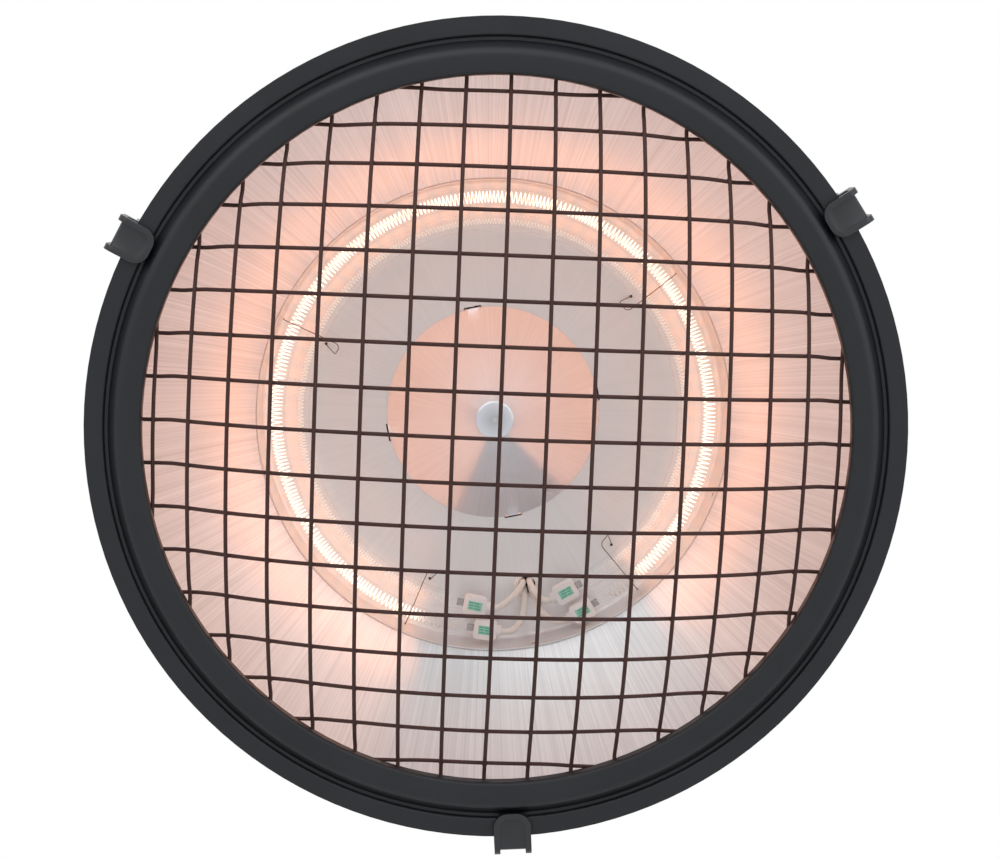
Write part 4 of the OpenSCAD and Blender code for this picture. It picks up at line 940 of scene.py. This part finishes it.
# bends: how far a lead runs straight on from its cap and up into its hole, then up and toward its pole
leads = {"capReach": 20 * mm, "radius": 1.95 * mm, "sides": 20, "holePitch": 2.15 * mm,
    "bushingOff": 107.5 * mm, "plate": 130 * mm, "back": 130.8 * mm, "end": 3 * mm, "intoCap": 1.5 * mm,
    "post": 62 * mm, "beforePost": 2 * mm, "poleHeight": 138.8 * mm, "polePitch": 9 * mm,
    "outerBend": (20 * mm, 8 * mm), "innerBends": ((11 * mm, 11 * mm), (11 * mm, 14 * mm)),
    "rowBends": {-1: (7 * mm, 20 * mm), 1: (18 * mm, 30 * mm)}}

out = polar(1.0, lamps["gapWay"])
across = np.array([-out[1], out[0], 0.0])


def leadPath(ring, side, row, column, pole, bend):
    origin, along, sideways = lampEnd(*ring, side)
    start = origin + along * leads["capReach"]
    hole = out * (leads["bushingOff"] + row * leads["holePitch"]) + across * column * leads["holePitch"]
    below = hole + up * (leads["plate"] - leads["end"])
    over = hole + up * (leads["back"] + leads["end"])
    post = out * leads["post"] + across * (pole - 1.5) * leads["polePitch"] + up * leads["poleHeight"]
    rise, runIn = leads["rowBends"][row]
    first = bezier(start + along * leads["end"], start + along * bend[0], below - up * bend[1], below, 24)
    second = bezier(over, over + up * rise, post + out * runIn, post + out * leads["beforePost"], 24)
    return [start - along * leads["intoCap"]] + first + second + [post - out * leads["end"]]


leadPaths = [
    leadPath(outerRing, 0, 1, 1, 3, leads["outerBend"]),
    leadPath(innerRing, 0, -1, 1, 2, leads["innerBends"][0]),
    leadPath(outerRing, 1, 1, -1, 0, leads["outerBend"]),
    leadPath(innerRing, 1, -1, -1, 1, leads["innerBends"][1]),
]
lampLeads = wires("lamp_leads_sleeved", leadPaths, leads["radius"], leads["sides"], "sleeve")
settle(lampLeads, "heater", "glass_sleeve", "lamp_leads")

# supports: places, step and hook in degrees round the axis
springs = {"wireRadius": 0.26 * mm, "sides": 10, "places": (48.4, 110.7, 202.5, 320.0), "step": 2.2,
    "hook": 2.5, "hole": 108.7 * mm, "top": 134.8 * mm, "firstBend": 127 * mm, "near": 100 * mm,
    "far": 137.3 * mm, "under": 107.2 * mm, "kneeHeight": 118 * mm, "tipBend": 112 * mm, "middle": 120 * mm,
    "bends": (0, 3 * mm, 4 * mm, 3 * mm, 3 * mm, 3 * mm, 0)}
springCorners = (
    (springs["hole"], springs["top"]), (springs["hole"], springs["firstBend"]),
    (springs["near"] + 1 * mm, springs["kneeHeight"]), (springs["near"], springs["under"]),
    (springs["far"] - 1 * mm, springs["under"]), (springs["far"], springs["tipBend"]),
    (springs["far"], springs["kneeHeight"]))
bentWire = bendPath([np.array(p) for p in springCorners], springs["bends"], 6)


def springPath(place):
    # below the plate the wire makes a small hook to one side, then runs past its hole
    path = []
    for reach, height in bentWire:
        s = (springs["firstBend"] - height) / (springs["firstBend"] - springs["under"])
        s = min(1.0, max(0.0, s)) if reach < springs["middle"] else 1.0
        aside = springs["step"] * s - springs["hook"] * math.sin(math.pi * s)
        path.append(polar(reach, place + aside, height))
    return path


springPaths = [springPath(place) for place in springs["places"]]
lampSprings = wires("lamp_support_springs", springPaths, springs["wireRadius"], springs["sides"], "spring")
settle(lampSprings, "heater", "zinc_steel", "lamp_supports")

# the tip of the cone is closed by a flush rivet
tipRivet = {"radius": 1.44 * mm, "from": 77.2 * mm, "to": 78.6 * mm, "sides": 24}
tipPath = [up * tipRivet["from"], up * tipRivet["to"]]
tipPiece = wires("cone_tip_rivet", [tipPath], tipRivet["radius"], tipRivet["sides"], "zinc")
settle(tipPiece, "heater", "zinc_steel")

jumpers = {"radius": 1.25 * mm, "sides": 14, "from": 42 * mm, "to": 69.5 * mm, "toHeight": 138.0 * mm,
    "blade": 4.5 * mm, "bend": 40 * mm}
jumperPaths = []
for s in (-1, 1):
    first = out * jumpers["from"] + across * s * leads["polePitch"] / 2 + up * leads["poleHeight"]
    last = -out * jumpers["to"] + across * s * jumpers["blade"] + up * jumpers["toHeight"]
    bend = out * jumpers["bend"]
    jumperPaths.append(bezier(first, first - bend, last + bend, last, 30))
cutoutLeads = wires("cutout_leads_sleeved", jumperPaths, jumpers["radius"], jumpers["sides"], "sleeve")
settle(cutoutLeads, "heater", "glass_sleeve", "cutout_leads")
print("leads, supports and jumpers done")


# edge radius of each softened piece, 0 where the edges stay as they are
softened = {"clip_1": 0.45 * mm, "clip_2": 0.45 * mm, "clip_3": 0.45 * mm, "outer_lamp_caps": 0.8 * mm,
    "inner_lamp_caps": 0.8 * mm, "guard_ring": 0, "shade": 0, "outer_reflector": 0, "reflector_pan": 0,
    "centre_cone": 0, "lead_bushing": 0, "top_housing": 0}
for name, edgeRound in softened.items():
    piece = softCopy(name, edgeRound)
    body = name if name.startswith("clip_") else "heater"
    settle(piece, body, slotNames[finishOfNode[name]], name)
print("softened", len(softened), "solids")


# ---- studio

bpy.context.scene.view_settings.view_transform = "Standard"
camera = {"place": (-0.026, -0.117, -1.462), "target": (0.0013, -0.0022, -0.268), "up": (0.0, -1.0, 0.0),
    "lens": 79.1, "sensor": 36.0, "nearest": 0.02}
eye = bpy.data.cameras.new("camera")
eye.lens = camera["lens"]
eye.sensor_width = camera["sensor"]
eye.clip_start = camera["nearest"]
eyeObject = addObject("camera", eye)
forward = (Vector(camera["target"]) - Vector(camera["place"])).normalized()
right = forward.cross(Vector(camera["up"])).normalized()
top = right.cross(forward)
facing = Matrix((right, top, -forward)).transposed().to_4x4()
eyeObject.matrix_world = Matrix.Translation(Vector(camera["place"])) @ facing
bpy.context.scene.camera = eyeObject


def whiteTo(tree, rays, plain, plainOutput, white, whiteOutput, output):
    # the kinds of ray that are named meet plain white, all others the plain shader
    path = addNode(tree, "ShaderNodeLightPath")
    found = (path, rays[0])
    for ray in rays[1:]:
        found = (scalarMaths(tree, "MAXIMUM", found, (path, ray)), "Value")
    mix = addNode(tree, "ShaderNodeMixShader")
    link(tree, *found, mix, 0)
    link(tree, plain, plainOutput, mix, 1)
    link(tree, white, whiteOutput, mix, 2)
    link(tree, mix, "Shader", output, "Surface")


whiteRays = ("Is Camera Ray", "Is Glossy Ray", "Is Transmission Ray")
plainWhite = (1.0, 1.0, 1.0, 1.0)
sky = {"tint": (0.95, 0.97, 1.0, 1.0), "strength": 0.4}
world = bpy.data.worlds.new("studio")
world.use_nodes = True
skyTree = world.node_tree
skyTree.nodes.clear()
skyOut = addNode(skyTree, "ShaderNodeOutputWorld")
skyWhite = addNode(skyTree, "ShaderNodeBackground", None, {"Color": plainWhite, "Strength": 1.0})
skySoft = addNode(skyTree, "ShaderNodeBackground", None, {"Color": sky["tint"], "Strength": sky["strength"]})
whiteTo(skyTree, whiteRays, skySoft, "Background", skyWhite, "Background", skyOut)
bpy.context.scene.world = world

ground = {"height": -2.1, "half": 6.0, "tone": (0.82, 0.82, 0.82, 1.0), "mottleScale": 3.0,
    "smoothest": 0.55, "roughest": 0.7}
floorMaterial, floorTree, floorShader, floorPlace = startMaterial("studio_floor")
floorMottle = noise(floorTree, floorPlace, ground["mottleScale"])
setRoughness(floorTree, floorShader, floorMottle, ground["smoothest"], ground["roughest"])
setInputs(floorShader, {"Base Color": ground["tone"]})
floorWhite = addNode(floorTree, "ShaderNodeEmission", None, {"Color": plainWhite, "Strength": 1.0})
whiteTo(floorTree, whiteRays, floorShader, "BSDF", floorWhite, "Emission", outputOf(floorTree))
floorMesh = bpy.data.meshes.new("studio_floor")
floorCorners = [(x * ground["half"], y * ground["half"], ground["height"])
    for x, y in ((-1, -1), (1, -1), (1, 1), (-1, 1))]
floorMesh.from_pydata(floorCorners, [], [(0, 1, 2, 3)])
floorMesh.materials.append(floorMaterial)
floor = addObject("studio_floor", floorMesh)

# three wide soft lights side by side, all on the side that the picture has at its top
softLights = {
    "key_light": {"place": (0.35, -1.5, -1.55), "size": 2.4, "power": 5},
    "right_light": {"place": (1.35, -0.85, -1.55), "size": 2.2, "power": 9},
    "left_light": {"place": (-0.8, -1.35, -1.55), "size": 2.2, "power": 11},
}
lightTarget = Vector((0, 0, -0.2))
for name, values in softLights.items():
    light = bpy.data.lights.new(name, "AREA")
    light.shape = "DISK"
    light.size = values["size"]
    light.energy = values["power"]
    holder = addObject(name, light)
    holder.location = values["place"]
    holder.rotation_euler = (lightTarget - Vector(values["place"])).to_track_quat("-Z", "Y").to_euler()
    holder.visible_camera = False

# the lit tube's light: rows of small lamps along it, each with radius, height, power and softness
glow = {"count": 64, "from": 109.0, "to": 409.4, "tint": (1.0, 0.28, 0.05),
    "rows": ((133 * mm, 119 * mm, 0.0008, 5 * mm), (129.5 * mm, 97 * mm, 0.0009, 8 * mm),
        (129.5 * mm, 80 * mm, 0.0030, 13 * mm), (119 * mm, 120 * mm, 0.0010, 5 * mm))}
for row, (radius, height, power, size) in enumerate(glow["rows"]):
    for i in range(glow["count"]):
        s = (i + 0.5) / glow["count"]
        light = bpy.data.lights.new("filament_glow", "POINT")
        light.energy = power
        light.color = glow["tint"]
        light.shadow_soft_size = size
        holder = addObject("filament_glow_%d_%d" % (row, i), light)
        holder.location = polar(radius, glow["from"] + (glow["to"] - glow["from"]) * s, height - rimDrop)
        holder.visible_camera = False
        holder.visible_transmission = False
        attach(holder, "heater")
print("studio ready")
